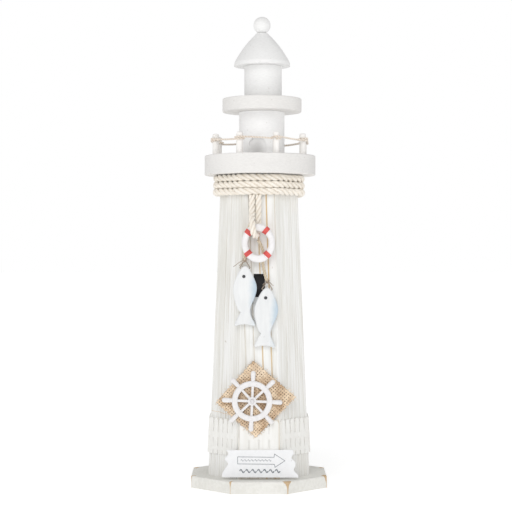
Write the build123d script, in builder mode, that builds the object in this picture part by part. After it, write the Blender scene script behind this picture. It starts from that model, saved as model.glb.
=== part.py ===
"""White-washed wooden lighthouse, a free-standing nautical souvenir 360 mm tall.

An eight-sided board carries a tower of eight tapered staves. A rope collar sits under a round
gallery with a twine railing, and two turned lanterns, a bell roof and a ball finish the top.
On the front hang a life ring and two wooden fish on cords, above a ship's wheel on a burlap
patch, a picket fence and a small sign board.

Frame: millimetres, origin at the middle of the underside, +Z up, front towards -Y.
"""
from build123d import *
import os
from math import atan2, cos, degrees, radians, sin, tan

os.makedirs("parts", exist_ok=True)

# ---- driving dimensions -------------------------------------------------------------------
SIDES = 8
HALF_SIDE_ANGLE = 180.0 / SIDES

# base board
BASE_FLATS = 102.7
BASE_THICK = 9.0
BASE_EDGE_ROUND = 0.7

# tower of staves
FOOT_FLATS = 76.9
HEAD_FLATS = 57.9
TOWER_TOP = 237.5
STAVE_THICK = 6.0
BOTTOM_BLOCK_HEIGHT = 16.0
TOP_BLOCK_HEIGHT = 14.0

# window in the front stave
WINDOW_WIDTH = 8.5
WINDOW_LOW = 144.5
WINDOW_HIGH = 162.0
WINDOW_X = 0.25
PANE_MARGIN = 3.0
PANE_THICK = 2.0

# picket fence round the foot
FENCE_LOW = 26.0
FENCE_HIGH = 53.0
FENCE_THICK = 1.4
FENCE_BOTTOM_RAIL = (29.0, 31.5)
FENCE_MIDDLE_RAIL = (38.4, 42.5)
FENCE_SIDE_GAP = 0.5
WIDE_PICKETS = 4
NARROW_PICKETS = 6
PICKET_GAP = 1.1

# sign board on the fence
SIGN_X = 0.6
SIGN_MIDDLE = 20.8
SIGN_THICK = 1.8

# burlap patch and ship's wheel
PATCH_BACK = 1.5
PATCH_THICK = 1.1
PATCH_FLAT = 32.0
PATCH_BEND_R = 30.0
PATCH_MIDDLE = 68.7
PATCH_CORNERS = [(-4.3, 28.3), (27.6, 1.4), (-2.4, -28.4), (-32.2, -2.7)]
WHEEL_X = -5.1
WHEEL_Z = 67.2
WHEEL_TURN = -2.4
WHEEL_BACK = 3.0
RIM_OUTER_R = 15.1
RIM_INNER_R = 10.8
RIM_THICK = 3.8
SPOKE_WIDTH = 1.8
HUB_R = 3.15
HUB_THICK = 4.3
HANDLE_TIP_R = 22.6
HANDLE_R = 1.85
HANDLE_NECK_R = 1.4
PIN_R = 0.9
PIN_HEAD_R = 1.6
PIN_HEAD_HIGH = 1.1
PIN_HEAD_GAP = 0.3
PIN_DEPTH = 4.5
RUNNING_GAP = 0.06

# rope collar under the gallery
ROPE_DIA = 5.1
ROPE_TURNS = 3
ROPE_PITCH = 5.2
ROPE_TOP_Z = 234.8
ROPE_START = 135.0
ROPE_SLOPE = 0.15
ROPE_STAND_OFF = 0.3
ROPE_CORNER_R = 5.0

# rope loop that holds the life ring
LOOP_DIA = 4.8

# life ring
RING_X = -0.6
RING_Y = -39.0
RING_Z = 185.0
RING_OUTER = (24.7, 29.1)
RING_HOLE = (15.5, 17.4)
RING_THICK = 4.6
RING_EDGE_ROUND = 2.1
BAND_PROUD = 0.3
BAND_WIDTH = 3.3
BAND_ANGLES = [54, 137, 221, 313]

# fish and their cords
FISH_LENGTH = 46.3
FISH_NOTCH = 43.6
FISH_OUTLINE = [(9.2, -FISH_LENGTH), (4.1, -34.0), (8.9, -16.5), (6.4, -8.0), (2.9, -1.9)]
FISH_THICK = 5.0
FISH_GAP = 0.4
FISH_EDGE_ROUND = 1.2
LEFT_MOUTH = (-10.5, 167.8)
LEFT_TILT = 0.0
RIGHT_MOUTH = (6.1, 151.8)
RIGHT_TILT = -2.4
MOUTH_HOLE_DEPTH = 2.3
MOUTH_HOLE_R = 0.6
THREAD_R = 0.5
EYE_R = 1.35
CORD_DIA = 2.4
KNOT_R = 1.5
KNOT_UP = 4.6

# gallery, lanterns, roof
DECK_DIA = 85.4
DECK_THICK = 15.0
DECK_X = 0.9
POST_DIA = 5.0
POST_CIRCLE_R = 35.9
POST_TURN = -3.0
POST_HIGH = 16.2
POST_SEAT = 8.0
TWINE_DIA = 1.6
TWINE_UP = 10.6
LOWER_LANTERN_DIA = 35.1
LOWER_LANTERN_HIGH = 33.8
LOWER_LANTERN_X = 2.2
DOOR_WIDTH = 13.7
DOOR_HIGH = 13.8
DOOR_DEPTH = 2.6
DOOR_TURN = -12.0
UPPER_DECK_DIA = 61.0
UPPER_DECK_THICK = 10.2
UPPER_DECK_X = 2.4
UPPER_LANTERN_DIA = 28.9
UPPER_LANTERN_HIGH = 25.3
UPPER_LANTERN_X = 3.2
ROOF_DIA = 43.4
ROOF_RIM = 2.6
ROOF_HIGH = 25.4
ROOF_X = 2.5
ROOF_TOP_R = 4.2
BALL_DIA = 13.2
BALL_X = 2.4
TOTAL_HEIGHT = 360.0
EDGE_ROUND = 0.6
DOWEL_DIA = 6.0
DOWEL_X = 2.0
BALL_PIN_DIA = 3.0

# ---- worked out from the driving dimensions -------------------------------------------------
TAPER = (FOOT_FLATS - HEAD_FLATS) / 2 / (TOWER_TOP - BASE_THICK)
LEAN = degrees(atan2(TAPER, 1.0))
DECK_TOP = TOWER_TOP + DECK_THICK
UPPER_DECK_LOW = DECK_TOP + LOWER_LANTERN_HIGH
UPPER_DECK_TOP = UPPER_DECK_LOW + UPPER_DECK_THICK
ROOF_LOW = UPPER_DECK_TOP + UPPER_LANTERN_HIGH
ROOF_TOP = ROOF_LOW + ROOF_HIGH
BALL_Z = TOTAL_HEIGHT - BALL_DIA / 2


def face_distance(z):
    """Distance from the tower's axis to the middle of each outer face at height z."""
    return FOOT_FLATS / 2 - TAPER * (z - BASE_THICK)


def facet_plane(facet, z, proud=0.0):
    """Plane on one tower face at height z, local x along the face and local y up it."""
    turn = radians(-90 + facet * 2 * HALF_SIDE_ANGLE)
    lean = radians(LEAN)
    out = Vector(cos(turn) * cos(lean), sin(turn) * cos(lean), sin(lean))
    foot = Vector(cos(turn), sin(turn), 0) * face_distance(z) + Vector(0, 0, z)
    return Plane(origin=foot + out * proud, x_dir=(-sin(turn), cos(turn), 0), z_dir=out)


def turned_plane(plane, x, tilt):
    """The same plane moved along its x by a distance and turned about its own normal."""
    angle = radians(tilt)
    return Plane(origin=plane.origin + plane.x_dir * x, z_dir=plane.z_dir,
                 x_dir=plane.x_dir * cos(angle) + plane.y_dir * sin(angle))


def up_the_face(z_low, z_high):
    """Distance along the leaning face between two heights."""
    return (z_high - z_low) / cos(radians(LEAN))


def ring_points(distance, z):
    """Corners of an octagon with flats at the given distance, starting right of the front."""
    corner_r = distance / cos(radians(HALF_SIDE_ANGLE))
    turns = [radians(-90 + HALF_SIDE_ANGLE * (2 * n + 1)) for n in range(SIDES)]
    return [Vector(corner_r * cos(t), corner_r * sin(t), z) for t in turns]


def save(name, piece):
    """Label a finished piece and write its file."""
    piece.part.label = name
    export_step(piece.part, f"parts/{name}.step")


def corner_radii(points):
    """Largest tangent arc for each inner point of a route: 0.45 of its shorter run."""
    radii = []
    for before, here, after in zip(points, points[1:], points[2:]):
        run_in = Vector(here) - Vector(before)
        run_out = Vector(after) - Vector(here)
        half_turn = radians(run_in.get_angle(run_out)) / 2
        radii.append(0.45 * min(run_in.length, run_out.length) / tan(half_turn))
    return radii


def report_tube(name, piece, path, diameter, radii):
    """Print a cord's bend radii and compare its volume with section times length."""
    expected = 3.14159265 * (diameter / 2) ** 2 * path.length
    print(name, "length", round(path.length, 1), "radii", [round(r, 1) for r in radii],
          "volume share", round(piece.part.volume / expected, 4))


# ---- base board: an octagon sawn from 9 mm board, screwed up into the bottom block -----------
SCREW_SPACING = 28.0
SCREW_R = 1.6
SCREW_HEAD_R = 3.2
SCREW_SINK = 0.4
SCREW_REACH = 20.0

with BuildPart() as base_plate:
    with BuildSketch(Plane.XY):
        RegularPolygon(BASE_FLATS / 2, SIDES, major_radius=False, rotation=HALF_SIDE_ANGLE)
    extrude(amount=BASE_THICK)
    fillet(base_plate.edges().filter_by(Axis.Z), BASE_EDGE_ROUND)
    fillet(base_plate.faces().sort_by(Axis.Z)[-1].edges(), BASE_EDGE_ROUND)
    with BuildSketch(Plane.XY):
        with GridLocations(SCREW_SPACING, 0, 2, 1):
            Circle(SCREW_R)
    extrude(amount=BASE_THICK, mode=Mode.SUBTRACT)
    with GridLocations(SCREW_SPACING, 0, 2, 1):
        with Locations((0, 0, SCREW_SINK)):
            Cone(SCREW_HEAD_R, SCREW_R, SCREW_HEAD_R - SCREW_R,
                 align=(Align.CENTER, Align.CENTER, Align.MIN), mode=Mode.SUBTRACT)
        Cylinder(SCREW_HEAD_R, SCREW_SINK,
                 align=(Align.CENTER, Align.CENTER, Align.MIN), mode=Mode.SUBTRACT)
save("base_plate", base_plate)

# two countersunk wood screws, heads just below the underside
with BuildPart() as base_screws:
    with GridLocations(SCREW_SPACING, 0, 2, 1):
        with Locations((0, 0, SCREW_SINK)):
            Cone(SCREW_HEAD_R, SCREW_R, SCREW_HEAD_R - SCREW_R,
                 align=(Align.CENTER, Align.CENTER, Align.MIN))
            Cylinder(SCREW_R, SCREW_REACH, align=(Align.CENTER, Align.CENTER, Align.MIN))
save("base_screws", base_screws)


# ---- blocks inside the two ends of the tower, which the staves are glued to ------------------
def tower_block(z_low, z_high):
    """Octagonal plug that fills the inside of the tower between two heights."""
    with BuildPart() as block:
        for z in (z_low, z_high):
            with BuildSketch(Plane.XY.offset(z)):
                RegularPolygon(face_distance(z) - STAVE_THICK, SIDES, major_radius=False,
                               rotation=HALF_SIDE_ANGLE)
        loft(ruled=True)
    return block


bottom_block = tower_block(BASE_THICK, BASE_THICK + BOTTOM_BLOCK_HEIGHT)
with bottom_block:
    with GridLocations(SCREW_SPACING, 0, 2, 1):
        with Locations((0, 0, SCREW_SINK)):
            Cylinder(SCREW_R, SCREW_REACH, align=(Align.CENTER, Align.CENTER, Align.MIN),
                     mode=Mode.SUBTRACT)
save("bottom_block", bottom_block)

DOWEL_LOW = TOWER_TOP - 9.0
DOWEL_HIGH = ROOF_LOW + 12.0


def dowel_hole(x, diameter, z_low, z_high):
    """Cut an upright round hole through the current piece between two heights."""
    with Locations((x, 0, z_low)):
        Cylinder(diameter / 2, z_high - z_low,
                 align=(Align.CENTER, Align.CENTER, Align.MIN), mode=Mode.SUBTRACT)


top_block = tower_block(TOWER_TOP - TOP_BLOCK_HEIGHT, TOWER_TOP)
with top_block:
    dowel_hole(DOWEL_X, DOWEL_DIA, DOWEL_LOW, TOWER_TOP)
save("top_block", top_block)

# ---- tower: eight tapered staves with mitred edges, the front one with a window --------------
FRONT = 0
for facet in range(SIDES):
    with BuildPart() as stave:
        for z in (BASE_THICK, TOWER_TOP):
            outer = ring_points(face_distance(z), 0)
            inner = ring_points(face_distance(z) - STAVE_THICK, 0)
            corners = [outer[facet - 1], outer[facet], inner[facet], inner[facet - 1]]
            with BuildSketch(Plane.XY.offset(z)):
                Polygon(*[(c.X, c.Y) for c in corners], align=None)
        loft(ruled=True)
        if facet == FRONT:
            with BuildSketch(facet_plane(FRONT, (WINDOW_LOW + WINDOW_HIGH) / 2, 1.0)):
                with Locations((WINDOW_X, 0)):
                    Rectangle(WINDOW_WIDTH, up_the_face(WINDOW_LOW, WINDOW_HIGH))
            extrude(amount=-(STAVE_THICK + 2.0), mode=Mode.SUBTRACT)
            with BuildSketch(facet_plane(FRONT, WHEEL_Z, 1.0)):
                with Locations((WHEEL_X, 0)):
                    Circle(PIN_R)
            extrude(amount=-(PIN_DEPTH + 1.0), mode=Mode.SUBTRACT)
    save(f"stave_{facet + 1}", stave)

# black pane glued behind the window opening
with BuildPart() as window_pane:
    pane_back = STAVE_THICK * cos(radians(LEAN)) + 0.02
    with BuildSketch(facet_plane(FRONT, (WINDOW_LOW + WINDOW_HIGH) / 2, -pane_back)):
        with Locations((WINDOW_X, 0)):
            Rectangle(WINDOW_WIDTH + 2 * PANE_MARGIN, WINDOW_HIGH - WINDOW_LOW + 2 * PANE_MARGIN)
    extrude(amount=-PANE_THICK)
save("window_pane", window_pane)

# ---- picket fence: one thin cut panel on each face, wide pickets on every second face ---------
for facet in range(SIDES):
    pickets = WIDE_PICKETS if facet % 2 == 0 else NARROW_PICKETS
    half_face = face_distance(FENCE_HIGH) * tan(radians(HALF_SIDE_ANGLE))
    panel_width = 2 * (half_face - FENCE_SIDE_GAP)
    pitch = (panel_width + PICKET_GAP) / pickets
    picket_width = pitch - PICKET_GAP
    with BuildPart() as fence:
        with BuildSketch(facet_plane(facet, FENCE_LOW)):
            for rail_low, rail_high in (FENCE_BOTTOM_RAIL, FENCE_MIDDLE_RAIL):
                with Locations((0, (rail_low + rail_high) / 2 - FENCE_LOW)):
                    Rectangle(panel_width, rail_high - rail_low)
            with GridLocations(pitch, 0, pickets, 1):
                with Locations((0, (FENCE_HIGH - FENCE_LOW - picket_width / 2) / 2)):
                    Rectangle(picket_width, FENCE_HIGH - FENCE_LOW - picket_width / 2)
                with Locations((0, FENCE_HIGH - FENCE_LOW - picket_width / 2)):
                    Circle(picket_width / 2)
        extrude(amount=FENCE_THICK)
    save(f"fence_{facet + 1}", fence)

# ---- sign board: thin board with waved ends, glued on the front of the fence -----------------
with BuildPart() as sign_board:
    with BuildSketch(facet_plane(FRONT, SIGN_MIDDLE, FENCE_THICK)):
        with BuildLine(Location((SIGN_X, 0))):
            top_edge = Line((-25.2, 10.0), (24.2, 10.2))
            Spline((24.2, 10.2), (24.7, 6.8), (23.6, 4.4), (25.9, 1.6), (26.1, -2.2),
                   (25.2, -4.4), (27.3, -7.2), (28.6, -10.2))
            bottom_edge = Line((28.6, -10.2), (-27.8, -10.0))
            Spline((-27.8, -10.0), (-28.0, -7.6), (-25.6, -3.6), (-24.1, 0.9), (-25.9, 3.6),
                   (-24.2, 5.8), (-25.2, 10.0))
        make_face()
    extrude(amount=SIGN_THICK)
save("sign_board", sign_board)

# ---- burlap patch: a square of cloth on its corner, its sides falling back round the tower ----
with BuildPart() as burlap_patch:
    patch_plane = facet_plane(FRONT, PATCH_MIDDLE, PATCH_BACK)
    reach = 45.0
    fall = 34.0
    edge = PATCH_FLAT / 2
    outer_r = PATCH_BEND_R + PATCH_THICK
    with BuildSketch(Plane(origin=patch_plane.origin - patch_plane.y_dir * reach,
                           x_dir=-patch_plane.x_dir, z_dir=patch_plane.y_dir)):
        with BuildLine():
            Line((-edge, 0), (edge, 0))
            right_back = CenterArc((edge, -PATCH_BEND_R), PATCH_BEND_R, 90, -fall)
            right_front = CenterArc((edge, -PATCH_BEND_R), outer_r, 90, -fall)
            Line(right_back @ 1, right_front @ 1)
            Line((-edge, PATCH_THICK), (edge, PATCH_THICK))
            left_back = CenterArc((-edge, -PATCH_BEND_R), PATCH_BEND_R, 90, fall)
            left_front = CenterArc((-edge, -PATCH_BEND_R), outer_r, 90, fall)
            Line(left_back @ 1, left_front @ 1)
        make_face()
    extrude(amount=2 * reach)
    with BuildSketch(patch_plane.offset(-reach / 2)):
        Polygon(*PATCH_CORNERS, align=None)
        with Locations((WHEEL_X, up_the_face(PATCH_MIDDLE, WHEEL_Z))):
            Circle(PIN_R, mode=Mode.SUBTRACT)
    extrude(amount=reach, mode=Mode.INTERSECT)
save("burlap_patch", burlap_patch)

# ---- ship's wheel: one piece, turning on a round-headed pin ----------------------------------
wheel_plane = turned_plane(facet_plane(FRONT, WHEEL_Z, WHEEL_BACK), WHEEL_X, WHEEL_TURN)
SPOKES = 8

# one turned handle, a thin neck swelling to a round end, made along +X
with BuildPart() as handle:
    with BuildSketch(Plane.XY):
        with BuildLine():
            neck = Line((RIM_OUTER_R - 0.8, 0), (RIM_OUTER_R - 0.8, HANDLE_NECK_R))
            swell = Spline(neck @ 1, (RIM_OUTER_R + 2.2, HANDLE_R - 0.1),
                           (HANDLE_TIP_R - HANDLE_R, HANDLE_R), tangents=[(1, 0.1), (1, 0)])
            RadiusArc(swell @ 1, (HANDLE_TIP_R, 0), HANDLE_R)
            Line((HANDLE_TIP_R, 0), (RIM_OUTER_R - 0.8, 0))
        make_face()
    revolve(axis=Axis.X)

with BuildPart() as ship_wheel:
    with BuildSketch(wheel_plane):
        Circle(RIM_OUTER_R)
        Circle(RIM_INNER_R, mode=Mode.SUBTRACT)
    extrude(amount=RIM_THICK)
    fillet(ship_wheel.edges().filter_by(GeomType.CIRCLE), 1.2)
    with BuildSketch(wheel_plane):
        Circle(HUB_R)
    hub = extrude(amount=HUB_THICK)
    with BuildSketch(wheel_plane.offset((RIM_THICK - SPOKE_WIDTH) / 2)):
        with PolarLocations((HUB_R + RIM_INNER_R) / 2, SPOKES):
            Rectangle(RIM_INNER_R - HUB_R + 1.6, SPOKE_WIDTH)
    extrude(amount=SPOKE_WIDTH)
    with Locations(wheel_plane.offset(RIM_THICK / 2)):
        with PolarLocations(0, SPOKES):
            add(handle.part)
    with BuildSketch(wheel_plane):
        Circle(PIN_R + RUNNING_GAP)
    extrude(amount=HUB_THICK, mode=Mode.SUBTRACT)
save("ship_wheel", ship_wheel)

with BuildPart() as wheel_pin:
    shank = WHEEL_BACK + PIN_DEPTH + HUB_THICK + PIN_HEAD_GAP
    with BuildSketch(wheel_plane.offset(-WHEEL_BACK - PIN_DEPTH)):
        Circle(PIN_R)
    extrude(amount=shank)
    with BuildSketch(wheel_plane.offset(HUB_THICK + PIN_HEAD_GAP)):
        Circle(PIN_HEAD_R)
    extrude(amount=PIN_HEAD_HIGH)
    head_rim = wheel_pin.edges().filter_by(GeomType.CIRCLE).group_by(SortBy.RADIUS)[-1]
    fillet(head_rim.sort_by(Axis.Y)[0], 0.8)
save("wheel_pin", wheel_pin)


# ---- rope collar: one rope wound three times round the tower's neck ---------------------------
def collar_height(turns):
    """Height of the rope's centre: nearly level, stepping down a pitch at the back."""
    whole, part = divmod(turns, 1.0)
    level = ROPE_SLOPE * min(part, 0.75) / 0.75
    step = (1 - ROPE_SLOPE) * max(part - 0.75, 0.0) / 0.25
    return ROPE_TOP_Z - ROPE_PITCH * (whole + level + step)


def collar_point(turns, at_corner):
    """Point on the rope's centre line, on a corner or in the middle of a face."""
    z = collar_height(turns)
    distance = face_distance(z) + ROPE_DIA / 2 + ROPE_STAND_OFF
    if at_corner:
        distance = distance / cos(radians(HALF_SIDE_ANGLE))
    turn = radians(ROPE_START + 360 * turns)
    return (distance * cos(turn), distance * sin(turn), z)


last_corner = int(SIDES * (ROPE_TURNS - 0.25))
collar_route = [collar_point(0, False)]
collar_route += [collar_point((n + 0.5) / SIDES, True) for n in range(last_corner)]
collar_route += [collar_point(last_corner / SIDES, False)]
with BuildPart() as collar_rope:
    with BuildLine() as collar_path:
        FilletPolyline(*collar_route, radius=ROPE_CORNER_R)
    with BuildSketch(Plane(origin=collar_path.wire() @ 0, z_dir=collar_path.wire() % 0)):
        Circle(ROPE_DIA / 2)
    sweep(path=collar_path.wire())
report_tube("collar_rope", collar_rope, collar_path.wire(), ROPE_DIA, [ROPE_CORNER_R])
save("collar_rope", collar_rope)


def cord_tube(name, route, diameter):
    """Build a cord as straight runs joined by the largest tangent arcs they allow."""
    radii = corner_radii(route)
    with BuildPart() as tube:
        with BuildLine() as path:
            FilletPolyline(*route, radius=radii)
        with BuildSketch(Plane(origin=path.wire() @ 0, z_dir=path.wire() % 0)):
            Circle(diameter / 2)
        sweep(path=path.wire())
    report_tube(name, tube, path.wire(), diameter, radii)
    return tube


# ---- rope loop: down the face, over the front of the ring, through it and back up --------------
LOOP_ROUTE = [(-5.4, -32.2, 221.2), (-5.6, -32.9, 207.8), (-5.2, -44.5, 201.2),
              (-4.0, -44.5, 190.6), (-1.2, -33.9, 190.2), (-0.2, -33.8, 201.5),
              (0.0, -32.2, 221.2)]
ring_rope = cord_tube("ring_rope", LOOP_ROUTE, LOOP_DIA)
save("ring_rope", ring_rope)

# ---- life ring: an oval ring with four red bands ----------------------------------------------
ring_centre = Plane(origin=(RING_X, RING_Y, RING_Z), x_dir=(1, 0, 0), z_dir=(0, -1, 0))


def oval_ring(grow):
    """Rounded oval ring about the ring's centre, grown all round by a small amount."""
    with BuildPart() as ring:
        thick = RING_THICK + 2 * grow
        with BuildSketch(ring_centre.offset(-thick / 2)):
            Ellipse(RING_OUTER[0] / 2 + grow, RING_OUTER[1] / 2 + grow)
            Ellipse(RING_HOLE[0] / 2 - grow, RING_HOLE[1] / 2 - grow, mode=Mode.SUBTRACT)
        extrude(amount=thick)
        fillet(ring.edges(), RING_EDGE_ROUND + grow)
    return ring


life_ring = oval_ring(0)
save("life_ring", life_ring)

with BuildPart() as ring_bands:
    mean_x = (RING_OUTER[0] + RING_HOLE[0]) / 4
    mean_z = (RING_OUTER[1] + RING_HOLE[1]) / 4
    with BuildSketch(ring_centre.offset(-RING_THICK)):
        for angle in BAND_ANGLES:
            across = (mean_x * cos(radians(angle)), mean_z * sin(radians(angle)))
            slope = degrees(atan2(across[1] / mean_z ** 2, across[0] / mean_x ** 2))
            with Locations(Location(across, slope)):
                Rectangle(2 * RING_THICK, BAND_WIDTH)
    extrude(amount=2 * RING_THICK)
    add(oval_ring(BAND_PROUD).part, mode=Mode.INTERSECT)
    add(life_ring.part, mode=Mode.SUBTRACT)
save("ring_bands", ring_bands)


# ---- fish: two sawn wooden fish, each threaded through its mouth and hung on a cord -------------
def fish_plane(mouth, tilt):
    """Plane of a fish's back, origin at its mouth, y towards the mouth's end."""
    return turned_plane(facet_plane(FRONT, mouth[1], FISH_GAP), mouth[0], tilt)


def make_fish(plane):
    """Fish outline sawn from board, edges rounded, with a thread hole through its mouth."""
    other_half = [(-x, y) for x, y in reversed(FISH_OUTLINE)]
    with BuildPart() as fish:
        with BuildSketch(plane):
            with BuildLine():
                body = Spline(*FISH_OUTLINE, (0, 0), *other_half, tangents=[(-0.45, 1), (-0.45, -1)])
                ThreePointArc(body @ 1, (0, -FISH_NOTCH), body @ 0)
            outline = make_face()
            fillet(outline.vertices(), FISH_EDGE_ROUND)
        extrude(amount=FISH_THICK)
        broad = fish.faces().filter_by(GeomType.PLANE)
        fillet(broad.edges(), FISH_EDGE_ROUND)
        hole_plane = Plane(origin=plane.origin + plane.z_dir * (FISH_THICK / 2)
                           - plane.y_dir * MOUTH_HOLE_DEPTH, z_dir=plane.x_dir)
        with BuildSketch(hole_plane):
            Circle(MOUTH_HOLE_R)
        extrude(amount=FISH_LENGTH, both=True, mode=Mode.SUBTRACT)
    return fish


def make_eye(plane, fish):
    """Black bead set on the fish's face, its back ground to the wood."""
    with BuildPart() as eye:
        with Locations(plane.offset(FISH_THICK)):
            with Locations((-0.8, -7.9, -0.5)):
                Sphere(EYE_R)
        add(fish.part, mode=Mode.SUBTRACT)
        split(bisect_by=plane.offset(FISH_THICK), keep=Keep.TOP)
    return eye


def make_tie(plane, cord):
    """Thread through the mouth hole, closed by a knot that holds the cord's end."""
    middle = plane.offset(FISH_THICK / 2)
    leg = 4.2
    with BuildPart() as tie:
        with BuildLine(middle) as loop:
            FilletPolyline((leg, -MOUTH_HOLE_DEPTH), (0.8, KNOT_UP - 1), (-0.8, KNOT_UP - 1),
                           (-leg, -MOUTH_HOLE_DEPTH), radius=0.6, close=True)
        with BuildSketch(Plane(origin=loop.wire() @ 0, z_dir=loop.wire() % 0)):
            Circle(THREAD_R)
        sweep(path=loop.wire())
        with Locations(middle):
            with Locations((0, KNOT_UP, 0)):
                Sphere(KNOT_R)
        add(cord.part, mode=Mode.SUBTRACT)
    return tie


LEFT_CORD_ROUTE = [(-5.4, -33.0, 202.4), (-7.2, -33.4, 197.2), (-10.0, -33.9, 191.3),
                   (-11.2, -34.2, 184.3), (-11.1, -34.4, 177.9), (-10.5, -34.6, 172.4)]
RIGHT_CORD_ROUTE = [(-0.6, -34.4, 187.3), (1.9, -34.3, 183.2), (3.3, -34.3, 177.8),
                    (2.6, -34.4, 169.4), (4.4, -34.8, 161.9), (5.9, -35.2, 156.4)]
for side, mouth, tilt, route in (("left", LEFT_MOUTH, LEFT_TILT, LEFT_CORD_ROUTE),
                                 ("right", RIGHT_MOUTH, RIGHT_TILT, RIGHT_CORD_ROUTE)):
    back = fish_plane(mouth, tilt)
    fish = make_fish(back)
    save(f"fish_{side}", fish)
    save(f"fish_eye_{side}", make_eye(back, fish))
    cord = cord_tube(f"fish_cord_{side}", route, CORD_DIA)
    save(f"fish_cord_{side}", cord)
    save(f"fish_tie_{side}", make_tie(back, cord))
    hole = back.origin + back.z_dir * (FISH_THICK / 2) - back.y_dir * MOUTH_HOLE_DEPTH
    print(f"fish_{side} mouth hole", [round(v, 3) for v in hole], "across",
          [round(v, 4) for v in back.x_dir])

# ---- gallery: a turned disc on the staves, with eight posts and a twine rail -------------------
post_turns = [radians(-90 + HALF_SIDE_ANGLE + POST_TURN + 2 * HALF_SIDE_ANGLE * n)
              for n in range(SIDES)]


def post_place(turn, distance):
    """Point on the gallery at a turn about its middle."""
    return (DECK_X + distance * cos(turn), distance * sin(turn))


with BuildPart() as gallery_deck:
    with BuildSketch(Plane.XY.offset(TOWER_TOP)):
        with Locations((DECK_X, 0)):
            Circle(DECK_DIA / 2)
    extrude(amount=DECK_THICK)
    fillet(gallery_deck.edges(), EDGE_ROUND)
    with BuildSketch(Plane.XY.offset(DECK_TOP)):
        with Locations(*[post_place(turn, POST_CIRCLE_R) for turn in post_turns]):
            Circle(POST_DIA / 2)
    extrude(amount=-POST_SEAT, mode=Mode.SUBTRACT)
    dowel_hole(DOWEL_X, DOWEL_DIA, TOWER_TOP, DECK_TOP)
save("gallery_deck", gallery_deck)

for number, turn in enumerate(post_turns):
    with BuildPart() as post:
        with BuildSketch(Plane.XY.offset(DECK_TOP - POST_SEAT)):
            with Locations(post_place(turn, POST_CIRCLE_R)):
                Circle(POST_DIA / 2)
        extrude(amount=POST_SEAT + POST_HIGH)
        fillet(post.faces().sort_by(Axis.Z)[-1].edges(), 1.4)
    save(f"post_{number + 1}", post)

# twine passing outside every post, with one more turn round each post above it
with BuildPart() as rail_twine:
    hug = POST_DIA / 2 + TWINE_DIA / 2 + 0.05
    rail_z = DECK_TOP + TWINE_UP
    corner_r = POST_CIRCLE_R + hug / cos(radians(HALF_SIDE_ANGLE))
    with BuildLine() as rail_path:
        FilletPolyline(*[(*post_place(turn, corner_r), rail_z) for turn in post_turns],
                       radius=hug, close=True)
    with BuildSketch(Plane(origin=rail_path.wire() @ 0, z_dir=rail_path.wire() % 0)):
        Circle(TWINE_DIA / 2)
    sweep(path=rail_path.wire())
    for turn in post_turns:
        with Locations((*post_place(turn, POST_CIRCLE_R), rail_z + TWINE_DIA + 0.08)):
            Torus(hug, TWINE_DIA / 2)
save("rail_twine", rail_twine)


# ---- lanterns and upper deck: turned discs and cylinders threaded on one dowel ------------------
def turned_disc(x, diameter, z_low, height):
    """Turned disc or cylinder with softened rims, drilled for the centre dowel."""
    with BuildPart() as piece:
        with BuildSketch(Plane.XY.offset(z_low)):
            with Locations((x, 0)):
                Circle(diameter / 2)
        extrude(amount=height)
        fillet(piece.edges().filter_by(GeomType.CIRCLE), EDGE_ROUND)
        dowel_hole(DOWEL_X, DOWEL_DIA, z_low, z_low + height)
    return piece


with BuildPart() as lower_lantern:
    add(turned_disc(LOWER_LANTERN_X, LOWER_LANTERN_DIA, DECK_TOP, LOWER_LANTERN_HIGH).part)
    door_turn = radians(-90 + DOOR_TURN)
    door_out = Vector(cos(door_turn), sin(door_turn), 0)
    door_floor = LOWER_LANTERN_DIA / 2 - DOOR_DEPTH
    with BuildSketch(Plane(origin=Vector(LOWER_LANTERN_X, 0, DECK_TOP) + door_out * door_floor,
                           x_dir=(-sin(door_turn), cos(door_turn), 0), z_dir=door_out)):
        with Locations((0, (DOOR_HIGH - DOOR_WIDTH / 2) / 2)):
            Rectangle(DOOR_WIDTH, DOOR_HIGH - DOOR_WIDTH / 2)
        with Locations((0, DOOR_HIGH - DOOR_WIDTH / 2)):
            Circle(DOOR_WIDTH / 2)
    extrude(amount=2 * DOOR_DEPTH, mode=Mode.SUBTRACT)
save("lower_lantern", lower_lantern)

upper_deck = turned_disc(UPPER_DECK_X, UPPER_DECK_DIA, UPPER_DECK_LOW, UPPER_DECK_THICK)
save("upper_deck", upper_deck)

upper_lantern = turned_disc(UPPER_LANTERN_X, UPPER_LANTERN_DIA, UPPER_DECK_TOP,
                            UPPER_LANTERN_HIGH)
save("upper_lantern", upper_lantern)

# ---- roof and ball finial ---------------------------------------------------------------------
BALL_PIN_LOW = ROOF_TOP - 6.0
BALL_PIN_HIGH = BALL_Z + 1.0


with BuildPart() as roof:
    roof_axis = Axis((ROOF_X, 0, 0), (0, 0, 1))
    with BuildSketch(Plane.XZ):
        with BuildLine(Location((ROOF_X, 0))):
            rim_top = (ROOF_DIA / 2 - 0.3, ROOF_LOW + ROOF_RIM)
            Polyline((0, ROOF_LOW), (ROOF_DIA / 2, ROOF_LOW), rim_top)
            ThreePointArc(rim_top, (15.2, ROOF_LOW + 12.9), (ROOF_TOP_R, ROOF_TOP))
            Polyline((ROOF_TOP_R, ROOF_TOP), (0, ROOF_TOP), (0, ROOF_LOW))
        make_face()
    revolve(axis=roof_axis)
    dowel_hole(DOWEL_X, DOWEL_DIA, ROOF_LOW, DOWEL_HIGH)
    dowel_hole(BALL_X, BALL_PIN_DIA, BALL_PIN_LOW, BALL_PIN_HIGH)
save("roof", roof)

with BuildPart() as finial:
    with Locations((BALL_X, 0, BALL_Z)):
        Sphere(BALL_DIA / 2)
    split(bisect_by=Plane.XY.offset(ROOF_TOP), keep=Keep.TOP)
    dowel_hole(BALL_X, BALL_PIN_DIA, BALL_PIN_LOW, BALL_PIN_HIGH)
save("finial", finial)

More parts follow.
